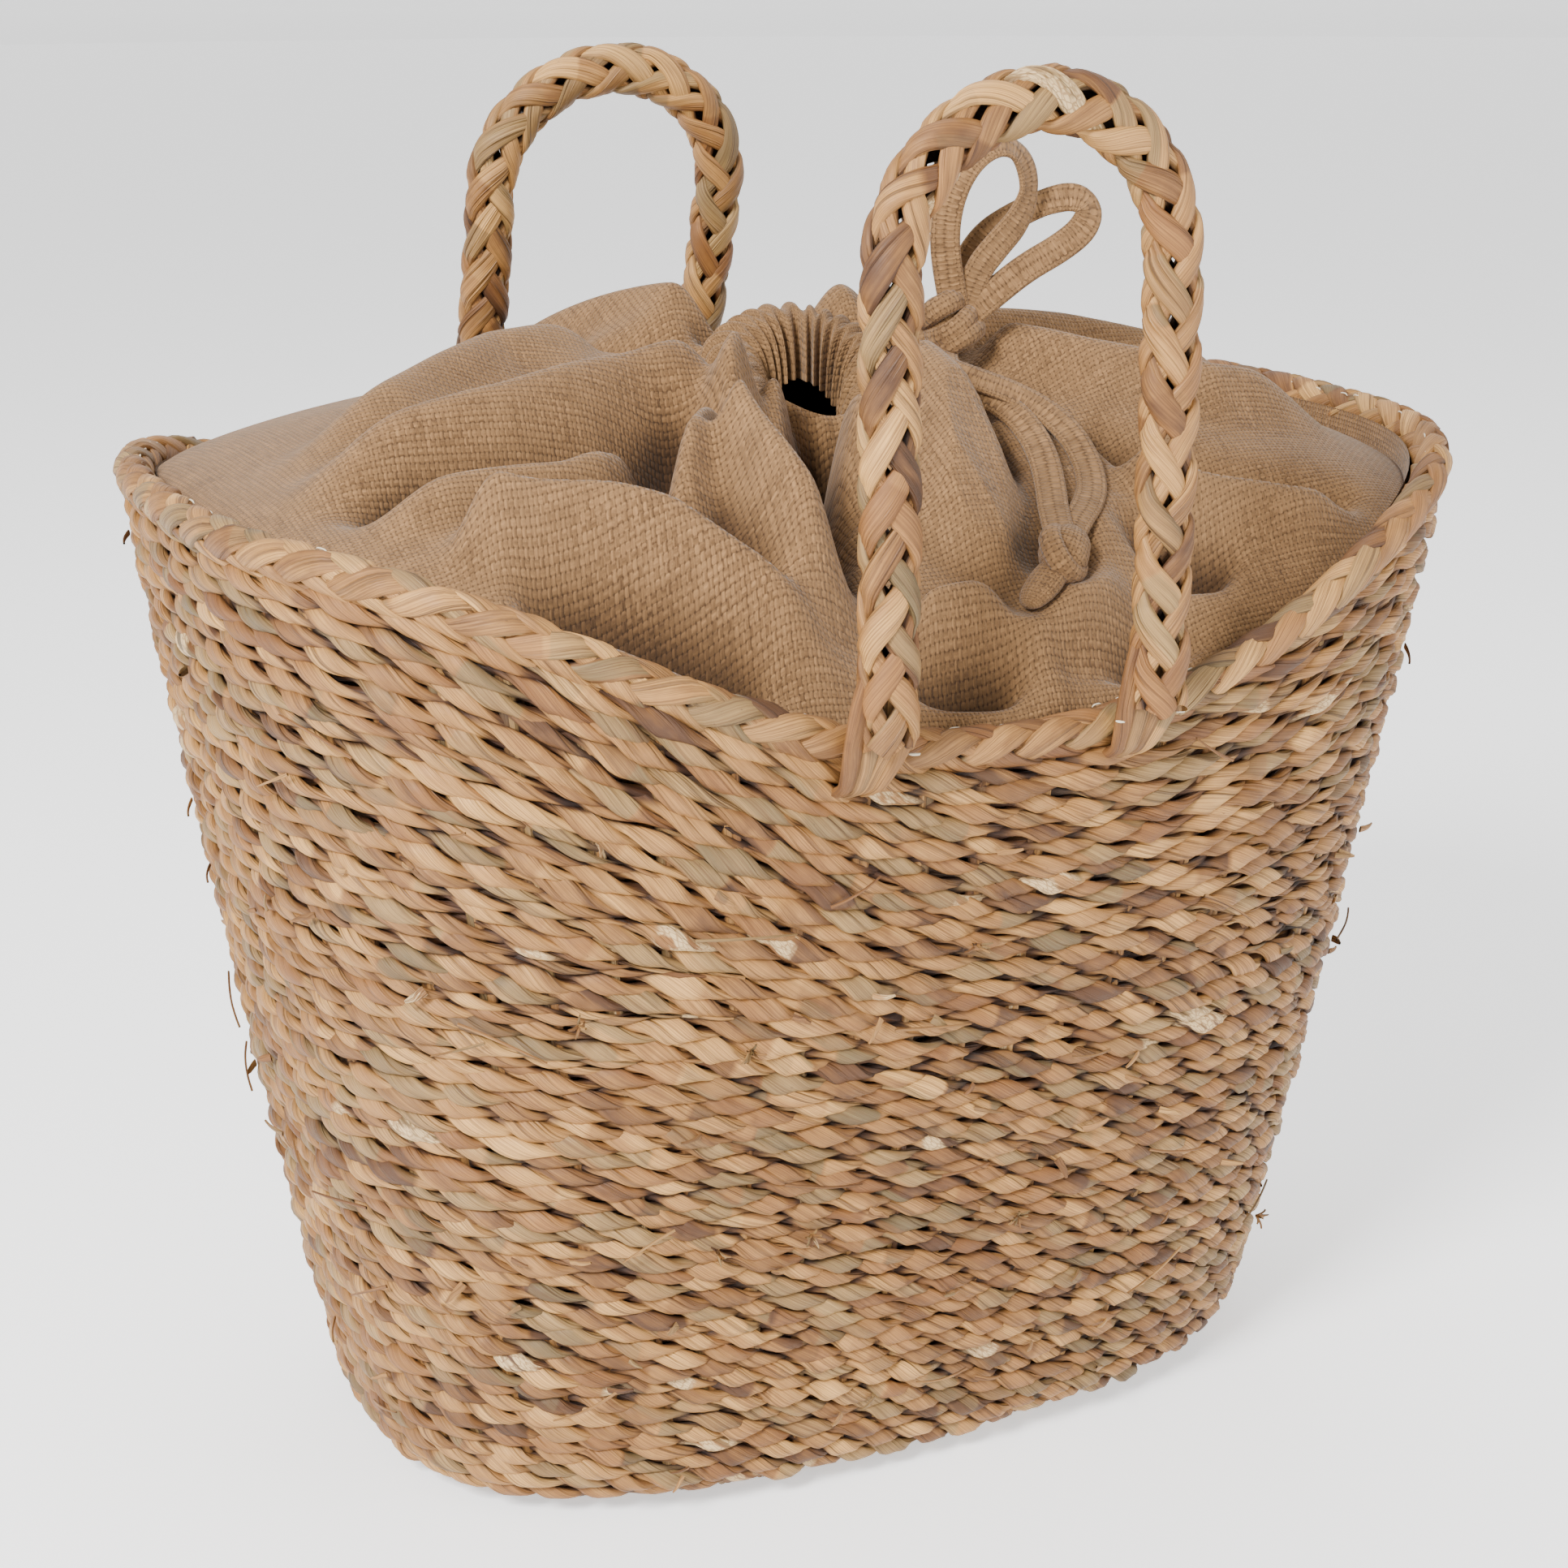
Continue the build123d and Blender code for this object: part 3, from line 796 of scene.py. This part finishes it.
def loose_leaf(rng, start, heading, out, length, width, lift, rows=9):
    """A dry leaf end or straw that leaves the weave at start."""
    share = np.linspace(0, 1, rows)[:, None]
    bend = np.cross(heading, out) * rng.normal(0, 0.10)
    line = start + length * (heading * share + bend * share**2) + out * lift * np.sin(pi * share * 0.8)
    wide, thick = strip_frame(line, out)
    taper = 1 - 0.65 * share[:, 0] ** 2
    return strand_block(rng, line, wide, thick, width * taper, 0.0004, False, rows, 0.6)


LOOSE_ENDS = 230


def make_loose_ends():
    """Cut ends, straws and frayed tufts that stand a little out of the wall."""
    rng = np.random.default_rng(530)
    blocks = []
    for number in range(LOOSE_ENDS):
        angle = stake_angle(rng.uniform(0, STAKE_COUNT))
        top = rim_line(np.array([angle]), 0, 0.016)[0, 2]
        height = rng.uniform(0.02, 0.98) * (top - 0.012) + 0.012
        near = np.array([angle - 0.01, angle, angle + 0.01])
        line = wall_point(near, np.full(3, height), -0.0008)
        up, out = wall_frame(line, False)
        start, along, up, out = line[1], tangents(line, False)[1], up[1], out[1]
        kind = number % 10
        if kind < 6:
            heading = along * rng.choice([-1, 1]) + up * rng.normal(0, 0.5) + out * rng.uniform(0.2, 0.6)
            length = rng.uniform(0.004, 0.010)
            width = rng.uniform(0.0008, 0.0018)
            blocks.append(loose_leaf(rng, start, unit(heading), out, length, width, 0.001))
        elif kind < 9:
            heading = unit(along * rng.choice([-1, 1]) + up * rng.normal(-0.15, 0.3))
            length = rng.uniform(0.016, 0.034)
            blocks.append(loose_leaf(rng, start + out * 0.0016, heading, out, length, 0.0006, 0.0016))
        else:
            for _ in range(9):
                heading = unit(along * rng.normal(0, 1) + up * rng.normal(0, 1) + out * 0.7)
                length = rng.uniform(0.003, 0.006)
                blocks.append(loose_leaf(rng, start, heading, out, length, 0.0006, 0.001, 5))
    add_piece("loose_leaf_ends", blocks, seagrass, "basket", "seagrass")


make_loose_ends()

# Handles
HANDLE_ARCH = 0.050
HANDLE_LEG = 0.142
HINGE_HEIGHT = 0.309
HINGE_OFFSET = 0.1795
HANDLES = {
    "front_handle": (-1, -0.006, 0.0),
    "rear_handle": (1, -0.012, radians(14)),
}
PLAIT_PITCH = 0.074
FOOT_TOP = 0.328
FOOT_LENGTH = 0.041


def handle_frame(side, middle, lean):
    """Hinge point, direction up the handle and direction out of its front."""
    hinge = np.array([middle, side * HINGE_OFFSET, HINGE_HEIGHT])
    up = np.array([0, -side * sin(lean), cos(lean)])
    out = np.array([0, side * cos(lean), sin(lean)])
    return hinge, up, out


def make_handle(name):
    """Square plait up one leg, over the arch and down the other."""
    side, middle, lean = HANDLES[name]
    rng = np.random.default_rng(600 + side)
    hinge, up, out = handle_frame(side, middle, lean)
    below = 0.004
    step = 0.0012
    leg = np.arange(-below, HANDLE_LEG, step)
    turn = np.arange(0, pi, step / HANDLE_ARCH)
    flat = np.concatenate([
        np.stack([np.full_like(leg, HANDLE_ARCH), leg], 1),
        np.stack([HANDLE_ARCH * np.cos(turn), HANDLE_LEG + HANDLE_ARCH * np.sin(turn)], 1),
        np.stack([np.full_like(leg, -HANDLE_ARCH), leg[::-1]], 1),
    ])
    flat[:, 0] += 0.0016 * wander(rng, len(flat), 60, False)
    sway = 0.0018 * wander(rng, len(flat), 70, False)
    line = hinge + flat[:, :1] * np.array([1.0, 0, 0]) + flat[:, 1:] * up + sway[:, None] * out
    face = np.broadcast_to(out, line.shape)
    sideways = unit(np.cross(face, tangents(line, False)))
    blocks = sinnet_blocks(rng, line, sideways, face, PLAIT_PITCH, 0.0076, 0.0048, 0.0041, False)
    piece = add_mesh(name + "_plait", blocks, seagrass)
    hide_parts(name)
    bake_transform(piece)


def make_feet(name):
    """Opened-out ends of a plait, laid over the outside of the rim and tucked under a row."""
    side, middle, lean = HANDLES[name]
    rng = np.random.default_rng(620 + side)
    blocks = []
    for leg in (-1, 1):
        for strand in range(4):
            spread = strand - 1.5
            rows = 40
            share = np.linspace(0, 1, rows)
            height = FOOT_TOP - FOOT_LENGTH * share
            fan = 0.0046 + 0.0014 * np.sin(pi * np.clip(share * 1.15, 0, 1))
            lean_over = -0.006 * share**2
            x = middle + leg * HANDLE_ARCH + spread * fan * (1 - 0.22 * share**3) + lean_over
            proud = 0.0042 - 0.0085 * np.clip((share - 0.86) / 0.14, 0, 1) ** 2
            proud = proud + 0.0006 * (strand % 2)
            y = side * (wall_reach(x, height) + proud)
            over = np.clip((0.312 - height) / 0.02, 0, 1)
            y = side * HINGE_OFFSET * (1 - over) + y * over
            line = np.stack([x, y, height], 1)
            thick, wide = strip_frame(line, [1.0, 0, 0])
            width = 0.0031 * (0.80 + 0.35 * np.sin(pi * share**0.8))
            blocks.append(strand_block(rng, line, wide, thick, width, 0.0019, False, 60, 0.3, 1.3))
    add_piece(name + "_feet_strands", blocks, seagrass, "basket", "seagrass", name + "_feet")


for handle in HANDLES:
    make_handle(handle)
    make_feet(handle)


# Stitches
RIM_DASHES = 150
RIM_DASH = 0.0044
RIM_THREAD = 0.0006
FOOT_DASH = 0.0042
FOOT_THREAD = 0.0009
FOOT_DASH_SPACING = 0.0058


def stitch_block(centre, along, normal, length, thickness):
    """A short dash of thread that dips into the work at both ends."""
    rows, columns = 9, 8
    share = np.linspace(-1, 1, rows)
    reach, lift = share * length / 2, thickness * (0.6 - share**4)
    line = centre + along * reach[:, None] + normal * lift[:, None]
    angle = circle(columns)
    across = np.cross(along, normal)
    size = thickness / 2 * (1 - 0.5 * share**6)
    ring = across * np.cos(angle)[:, None] + normal * np.sin(angle)[:, None]
    points = line[:, None, :] + ring[None] * size[:, None, None]
    return grid_block(points, False)


def make_rim_stitches():
    rng = np.random.default_rng(700)
    blocks = []
    angle = even_angles(RIM_DASHES)
    line = rim_line(angle, 0.0085, -0.0016)
    along = tangents(line, True)
    up, out = wall_frame(line, True)
    for index in range(RIM_DASHES):
        length = RIM_DASH * rng.uniform(0.7, 1.15)
        lift = rng.uniform(-0.0030, -0.0004)
        centre = line[index] + up[index] * lift
        blocks.append(stitch_block(centre, along[index], up[index], length, RIM_THREAD))
    add_piece("rim_running_stitches", blocks, thread, "basket", "sewing_thread", "rim_stitches")


def make_foot_stitches(name):
    """A line of dashes across both feet at the height of the rim."""
    side, middle, lean = HANDLES[name]
    rng = np.random.default_rng(710 + side)
    blocks = []
    for leg in (-1, 1):
        for dash in range(-2, 3):
            x = middle + leg * HANDLE_ARCH + dash * FOOT_DASH_SPACING + rng.uniform(-0.0006, 0.0006)
            height = 0.3015 + rng.uniform(-0.0006, 0.0006)
            centre = np.array([x, side * (wall_reach(x, 0.300) + 0.0066), height])
            normal = np.array([0, side * 1.0, 0])
            along = np.array([1.0, 0, 0.12 * side])
            blocks.append(stitch_block(centre, along, normal, FOOT_DASH, FOOT_THREAD))
    add_piece(name + "_foot_dashes", blocks, thread, "basket", "sewing_thread", name + "_stitches")


make_rim_stitches()
for handle in HANDLES:
    make_foot_stitches(handle)


# Cloth liner
NECK = np.array([0.005, -0.001])
NECK_HALF = np.array([0.036, 0.026])
BAG_INSET = 0.0127
BAG_FLOOR = 0.0125
TOP_INSET = 0.0128


def make_bag():
    """The lining inside the basket, from the rim to the base."""
    angle = even_angles(200)
    rim = rim_line(angle, 0.0125, 0.004)
    rows = []
    for part in np.linspace(0, 1, 40):
        height = BAG_FLOOR + (rim[:, 2] - BAG_FLOOR) * part
        rows.append(wall_point(angle, height, BAG_INSET))
    floor = []
    for part in np.linspace(0.02, 1, 12):
        x, y = oval(angle, *half_axes(BAG_FLOOR, BAG_INSET))
        floor.append(np.stack([x * part, y * part, np.full_like(x, 0.0112)], -1))
    points = np.array(floor + rows)
    girth = np.linspace(0, 1.25, len(angle) + 1)
    run = np.linspace(0, 0.5, len(points))
    uv = surface_map(run, girth)
    blocks = [grid_block(points, False, uv)]
    piece = add_piece("liner_bag_cloth", blocks, cloth, "basket", "liner_cloth", "liner_bag")


make_bag()

# Folds of the gathered cloth in millimetres, seen from above: height and half width of each,
# then places along it. A negative height is a valley.
FOLDS_MM = (
    # left of the neck
    (5, 14, (-30, 15), (-60, 40), (-105, 30), (-155, -5), (-200, -25)),
    (-6, 9, (-35, -5), (-100, -15), (-140, -30)),
    (6, 14, (-40, -25), (-130, -50), (-185, -55), (-210, -50)),
    (-9, 10, (-60, -45), (-100, -65), (-135, -70), (-200, -75)),
    (4, 10, (-90, -75), (-125, -90), (-195, -90)),
    # left of the front, down to the rim
    (-12, 8, (-50, -50), (-90, -85), (-105, -100), (-130, -105), (-165, -105)),
    (9, 8, (-175, -115), (-130, -120), (-100, -130), (-60, -150), (-45, -150)),
    (-10, 7, (-160, -130), (-130, -135), (-100, -145), (-60, -160)),
    (9, 9, (-35, -35), (-65, -70), (-100, -120)),
    (7, 9, (-20, -30), (-25, -55), (-45, -85)),
    # the deep valley and the two lobes in front of the neck
    (-20, 11, (0, -20), (-10, -45), (-35, -80), (-40, -100), (-30, -115)),
    (9, 10, (0, -35), (-10, -60), (-10, -90)),
    (-8, 6, (-50, -75), (-45, -105), (-40, -130)),
    (13, 12, (-65, -90), (-60, -115), (-50, -145)),
    (10, 24, (20, -50), (25, -75), (25, -105), (10, -125)),
    (-8, 7, (35, -30), (45, -45), (50, -65), (40, -105)),
    (-8, 10, (50, -105), (50, -125), (40, -140)),
    # right of the front
    (5, 12, (65, -20), (100, -50), (140, -70), (195, -70)),
    (-7, 8, (75, -70), (90, -90), (115, -110), (150, -120), (175, -120)),
    (5, 7, (80, -95), (100, -120), (135, -130), (170, -130)),
    (-6, 6, (65, -110), (85, -130), (110, -135)),
    # along the front rim
    (-8, 6, (-30, -145), (10, -150), (40, -150), (95, -150)),
    (7, 7, (-25, -140), (10, -140), (65, -140)),
    # behind the neck
    (6, 13, (30, 25), (80, 100), (120, 140)),
    (-8, 9, (0, 30), (-10, 90), (-20, 150)),
    (7, 13, (-20, 25), (-60, 90), (-90, 140)),
    (-6, 9, (50, 10), (120, 50), (190, 80)),
    (5, 12, (50, 0), (120, 5), (200, -10)),
    (-6, 9, (-30, 10), (-100, 80), (-160, 110)),
)


FOLD_STRENGTH = 3.4


def nearest_on(line, x, y):
    """Distance in plan, share of the length, and place on a line for each point."""
    line = np.asarray(line, float)
    lengths = np.linalg.norm(np.diff(line[:, :2], axis=0), axis=1)
    starts = np.concatenate([[0], np.cumsum(lengths)])
    best = np.full(x.shape, np.inf)
    share = np.zeros(x.shape)
    place = np.zeros(x.shape + (line.shape[1],))
    for k in range(len(lengths)):
        a, d = line[k], line[k + 1] - line[k]
        t = np.clip(((x - a[0]) * d[0] + (y - a[1]) * d[1]) / (d[0] ** 2 + d[1] ** 2), 0, 1)
        away = np.hypot(x - a[0] - t * d[0], y - a[1] - t * d[1])
        closer = away < best
        best = np.where(closer, away, best)
        share = np.where(closer, (starts[k] + t * lengths[k]) / starts[-1], share)
        place = np.where(closer[..., None], a + t[..., None] * d, place)
    return best, share, place


def fold_height(x, y):
    """Sum of the folds at places seen from above: round ridges and narrow valleys."""
    total = np.zeros_like(x)
    for height, half_width, *places in FOLDS_MM:
        away, share, _ = nearest_on(np.array(places) / 1000, x, y)
        growth = soft_step(share / 0.14 + 0.15) * soft_step((1 - share) / 0.30 + 0.1)
        if height > 0:
            shape = np.exp(-((1000 * away / half_width / 0.9) ** 2))
        else:
            shape = np.exp(-((1000 * away / half_width / 0.85) ** 1.3))
        total += FOLD_STRENGTH * height / 1000 * growth * shape
    return total


def lay_under(height, x, y, line, gap, reach):
    """Bring the cloth to a gap below whatever lies on it along a line."""
    away, _, place = nearest_on(line, x, y)
    target = place[..., 2] - gap
    share = np.exp(-((np.maximum(away - 0.004, 0) / reach) ** 2))
    height = height + (target - height) * share
    return np.minimum(height, target + 1.3 * np.maximum(away - 0.005, 0))


def smooth_rows(field, rounds):
    for _ in range(rounds):
        field = (2 * field + np.roll(field, 1, 1) + np.roll(field, -1, 1)) / 4
        inner = (2 * field[1:-1] + field[2:] + field[:-2]) / 4
        field = np.concatenate([field[:1], inner, field[-1:]])
    return field


def make_liner_top():
    """Cloth that rises inside the rim and is gathered to the neck."""
    rng = np.random.default_rng(800)
    columns, levels = 640, 136
    angle = even_angles(columns)
    front = np.clip(-np.sin(angle), 0, 1)
    left = np.clip(-np.cos(angle), 0, 1) ** 1.5
    right = np.clip(np.cos(angle), 0, 1) ** 1.2
    tuck = rim_line(angle, TOP_INSET, 0.016)
    edge = rim_line(angle, TOP_INSET, 0.002 + 0.012 * right + 0.003 * left)
    inner_x, inner_y = oval(angle, NECK_HALF[0], NECK_HALF[1], 2.0)
    neck = np.stack([NECK[0] + inner_x, NECK[1] + inner_y], -1)
    neck_height = 0.397 + 0.004 * np.clip(np.sin(angle), 0, 1) - 0.016 * front**2
    part = (np.linspace(0, 1, levels) ** 0.9)[:, None]
    flat = edge[None, :, :2] * (1 - part[..., None]) + neck[None] * part[..., None]
    rise = np.sin(pi / 2 * part ** (0.85 - 0.08 * left))
    height = edge[None, :, 2] * (1 - rise) + neck_height * rise
    fade = soft_step(part / 0.10) * soft_step((1 - part) / 0.10)
    x, y = flat[..., 0], flat[..., 1]
    drift = 0.004 * np.array([wander(rng, columns, 50), wander(rng, columns, 34)])
    height = height + fold_height(x + drift[0] * (1 - part), y + drift[1] * part) * fade
    small = wander(rng, columns, 14) * np.sin(pi * part) * 0.0012
    height = height + small * fade
    height = smooth_rows(height, 3)
    gather = np.sin(angle * 21 + 2.0 * wander(rng, columns, 60))
    height = height + 0.0026 * gather * np.exp(-(1 - part) / 0.09) * soft_step((1 - part) / 0.03)
    for name in ("upper_tail", "lower_tail"):
        height = lay_under(height, x, y, ROUTES[name][5:], 0.0030, 0.012)
    height = lay_under(height, x, y, ((0.0385, -0.1305, 0.348), (0.0380, -0.1300, 0.348)), 0.0088, 0.012)
    height = lay_under(height, x, y, ((0.032, -0.134, 0.344), (0.020, -0.140, 0.336)), 0.0050, 0.010)
    points = np.concatenate([tuck[None], np.concatenate([flat, height[..., None]], -1)])
    closed_points = np.concatenate([points, points[:, :1]], 1)
    uv = 1.12 * closed_points[..., :2] + 0.35 * closed_points[..., 2:] * np.array([0.0, 1.0])
    # Painted shade: the cloth is darkened where it lies below a widely smoothed copy of its own heights,
    # in the valleys between folds.
    wide_height = smooth_rows(points[..., 2], 160)
    depth = np.clip((wide_height - points[..., 2] - 0.0005) / 0.0075, 0, 1)
    tint = np.ones(points.shape[:2] + (4,))
    tint[..., 3] = 1 - 0.90 * smooth_rows(depth, 2)
    piece = add_mesh("liner_top_cloth", [grid_block(points, False, uv, tint)], cloth)
    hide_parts("liner_top")
    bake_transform(piece)


make_liner_top()


def make_channel():
    """Ruched hem round the mouth, higher at the back, with the tape hidden inside."""
    rng = np.random.default_rng(820)
    columns, rows = 420, 40
    around = circle(columns)
    section = np.linspace(0, 1, rows)
    back = np.clip(np.sin(around), 0, 1) ** 1.3
    front = np.clip(-np.sin(around), 0, 1)
    crest = 0.402 + 0.013 * back - 0.027 * front**1.3
    pleat = np.sin(around * 27 + 2.2 * wander(rng, columns, 40))
    pleat = signed_power(pleat, 0.7)
    lumps = 0.0012 * wander(rng, columns, 25)
    points = np.zeros((rows, columns, 3))
    for row, part in enumerate(section):
        roll = pi * part
        out_share = np.cos(roll)
        radius_x = 0.0275 + 0.0115 * out_share
        radius_y = 0.0185 + 0.0095 * out_share
        depth = np.where(part < 0.5, 0.012, 0.026)
        height = crest - depth * (1 - np.sin(roll)) ** 1.2
        ruche = 0.0026 * pleat * (0.35 + 0.65 * part) + lumps
        points[row, :, 0] = NECK[0] + (radius_x + ruche) * np.cos(around)
        points[row, :, 1] = NECK[1] + (radius_y + ruche) * np.sin(around)
        points[row, :, 2] = height + 0.0012 * pleat * np.sin(roll)
    girth = np.linspace(0, 0.42, columns + 1)
    node = "drawstring_channel"
    blocks = [grid_block(points, False, surface_map(section * 0.055, girth))]
    add_piece(node + "_ruffle", blocks, cloth, "liner_neck", "liner_cloth", node)


make_channel()


# Drawstring
def tape_block(line, face, half_width=TAPE_WIDTH * 0.60, half_depth=TAPE_THICKNESS / 2):
    """Flat folded tape along a line. face is the direction that its flat side looks."""
    wide, thick = strip_frame(line, face)
    turn = circle(TAPE_SECTION)
    across = signed_power(np.cos(turn), 0.55) * half_width
    through = signed_power(np.sin(turn), 0.7) * half_depth
    groove = np.exp(-(((across / half_width - 0.62) / 0.10) ** 2)) * 0.35 * half_depth
    through = through - np.sign(through) * groove
    girth = np.arange(TAPE_SECTION + 1) / TAPE_SECTION * 0.021
    points = across_line(line, wide, across[None], thick, through[None])
    return grid_block(points, False, surface_map(run_of(line), girth))


def smooth_face(line, keys):
    """Directions along a line. Each key is a share of its length and the direction there."""
    shares, *axes = np.array(keys, float).T
    place = np.linspace(0, 1, len(line))
    return unit(np.stack([np.interp(place, shares, values) for values in axes], -1))


TAPE_FACES = {
    "bow_loop_left": (
        (0, -0.5, -0.85, 0.1), (0.3, -0.5, -0.8, 0.35), (0.5, 0, -0.62, 0.78),
        (0.65, 0.45, -0.85, 0.2), (1, -0.1, -0.9, 0.4),
    ),
    "bow_loop_right": (
        (0, -0.35, -0.85, 0.4), (0.35, -0.35, -0.9, 0.2), (0.5, 0.3, -0.95, 0.1),
        (0.65, -0.1, -0.75, 0.65), (1, -0.3, -0.85, 0.4),
    ),
    "upper_tail": ((0, 0, -0.7, 0.7), (0.5, -0.3, -0.5, 0.8), (1, 0, -0.5, 0.9)),
    "lower_tail": ((0, 0, -0.7, 0.7), (0.5, -0.4, -0.5, 0.75), (1, -0.3, -0.6, 0.8)),
}


def make_tapes():
    """The two loops of the bow and the two tails, all on the gathered neck."""
    made = {}
    for name, route in ROUTES.items():
        line = route_line(route)
        face = smooth_face(line, TAPE_FACES[name])
        made[name] = (add_mesh(name + "_tape", [tape_block(line, face)], tape_cloth), line)
    return made


tapes = make_tapes()


def knot_bands(rng, centre, axis, bands, radius, half_width):
    """Wrapped bands of tape round a knot: centre, axis of the wrap, and for each band its place."""
    blocks = []
    axis = np.array(axis) / np.linalg.norm(axis)
    first = unit(np.cross(axis, [0.3, -0.2, 1.0]))
    second = np.cross(axis, first)
    for shift, tilt, size in bands:
        turn = circle(64)
        lean = unit(axis + tilt * first)
        side = unit(np.cross(lean, second))
        wobble = 1 + 0.05 * wander(rng, 64, 10)
        ring = side * np.cos(turn)[:, None] + second * np.sin(turn)[:, None] * 0.86
        ring = ring * (size * radius * wobble)[:, None]
        line = np.array(centre) + axis * shift + ring
        face = unit(ring)
        wide, _ = strip_frame(line, face, True)
        angle = circle(14)
        across = np.cos(angle) * half_width
        through = signed_power(np.sin(angle), 0.8) * 0.0019 + 0.0012 * (1 - (across / half_width) ** 2)
        points = across_line(line, wide, across[None], face, through[None])
        uv = surface_map(np.append(turn, tau) * radius, np.linspace(0, 0.02, 15))
        blocks.append(grid_block(points, True, uv))
    return blocks


def lump_block(centre, sizes, direction, seed, bumps=0.06):
    """Rounded closed lump of cloth, longest along a direction."""
    rng = np.random.default_rng(seed)
    rows, columns = 26, 36
    along = unit(np.array(direction, float))
    first = unit(np.cross(along, [0.2, 0.1, 1.0]))
    second = np.cross(along, first)
    polar = np.linspace(0.02, pi - 0.02, rows)
    turn = circle(columns)
    noise = np.array([wander(rng, columns, 9) for _ in range(rows)])
    noise = (noise + np.roll(noise, 1, 0) + np.roll(noise, -1, 0) + np.roll(noise, 2, 0)) / 4
    size = 1 + bumps * noise * np.sin(polar)[:, None]
    flat = np.abs(np.sin(polar)) ** 0.75
    points = (
        np.array(centre)
        + along * (-np.cos(polar)[:, None] * sizes[0] * size)[..., None]
        + first * ((flat[:, None] * np.cos(turn)) * sizes[1] * size)[..., None]
        + second * ((flat[:, None] * np.sin(turn)) * sizes[2] * size)[..., None]
    )
    uv = surface_map(polar * sizes[0], np.linspace(0, tau * sizes[1], columns + 1))
    return grid_block(points, False, uv)


def make_bow_knot():
    rng = np.random.default_rng(850)
    blocks = [lump_block((0.049, -0.030, 0.4105), (0.012, 0.0085, 0.0080), (0.55, -0.2, -0.75), 851)]
    blocks += knot_bands(
        rng, (0.0495, -0.0305, 0.4115), (0.45, -0.25, -0.80),
        ((-0.006, 0.25, 0.95), (0.0005, -0.15, 1.08), (0.0062, 0.1, 0.98)), 0.0088, 0.0043,
    )
    lead = np.linspace(0, 1, 12)[:, None]
    line = np.array([0.046, -0.028, 0.407]) * (1 - lead) + np.array([0.031, -0.015, 0.405]) * lead
    blocks.append(tape_block(line, np.broadcast_to([0, -0.4, 0.9], line.shape), 0.005, 0.003))
    return add_piece("bow_knot_wraps", blocks, tape_cloth, "liner_neck", "drawstring_tape", "bow_knot")


def make_end_knot():
    rng = np.random.default_rng(860)
    blocks = [
        lump_block((0.0385, -0.1305, 0.3480), (0.0100, 0.0086, 0.0078), (0.5, 0.4, 0.5), 861, 0.08),
        lump_block((0.0275, -0.1365, 0.3400), (0.0125, 0.0066, 0.0040), (-0.75, -0.36, -0.5), 862, 0.05),
    ]
    blocks += knot_bands(
        rng, (0.0375, -0.1312, 0.3476), (-0.6, 0.3, -0.5), ((0.0, 0.2, 1.05),), 0.0086, 0.0044
    )
    return add_piece("end_knot_wraps", blocks, tape_cloth, "liner_neck", "drawstring_tape", "end_knot")


bow_knot = make_bow_knot()
end_knot = make_end_knot()
for name, (tape, line) in tapes.items():
    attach(tape, "liner_neck")
    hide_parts(name)


# Floor, light
def make_stage():
    """Pale floor that curves up behind, and soft studio light."""
    floor_mesh = bpy.data.meshes.new("floor")
    sides = 96
    flat_radius, bend = 12.0, 30.0
    turns = [pi / 2 * step / 24 for step in range(25)]
    rings = [(flat_radius + bend * sin(turn), bend * (1 - cos(turn))) for turn in turns]
    corners = [(r * cos(turn), r * sin(turn), z) for r, z in rings for turn in circle(sides)]
    faces = [tuple(range(sides))]
    for ring in range(len(rings) - 1):
        for k in range(sides):
            low, low_next = ring * sides + k, ring * sides + (k + 1) % sides
            faces.append((low, low_next, low_next + sides, low + sides))
    floor_mesh.from_pydata(corners, [], faces)
    for face in floor_mesh.polygons:
        face.use_smooth = face.index > 0
    n = Nodes("pale_floor")
    n.surface({"Base Color": (0.94, 0.94, 0.94, 1), "Roughness": 0.7})
    n.surface({"Emission Color": (1, 1, 1, 1), "Emission Strength": 0.75})
    floor_mesh.materials.append(n.material)
    floor = put_in_scene("floor", floor_mesh)
    world = bpy.data.worlds.new("studio")
    world.use_nodes = True
    world.node_tree.nodes["Background"].inputs["Color"].default_value = (1, 1, 1, 1)
    world.node_tree.nodes["Background"].inputs["Strength"].default_value = 0.36
    bpy.context.scene.world = world
    lights = (
        ("key", (-1.45, -1.0, 1.55), 0.6, 102),
        ("fill", (1.5, -1.8, 1.0), 1.4, 24),
        ("top", (0.3, 0.7, 2.2), 1.2, 24),
    )
    for name, place, size, power in lights:
        data = bpy.data.lights.new(name, "AREA")
        data.size = size
        data.energy = power
        light = put_in_scene(name, data)
        light.location = place
        aim = Vector((0, 0, 0.25)) - Vector(place)
        light.rotation_euler = aim.to_track_quat("-Z", "Y").to_euler()


make_stage()
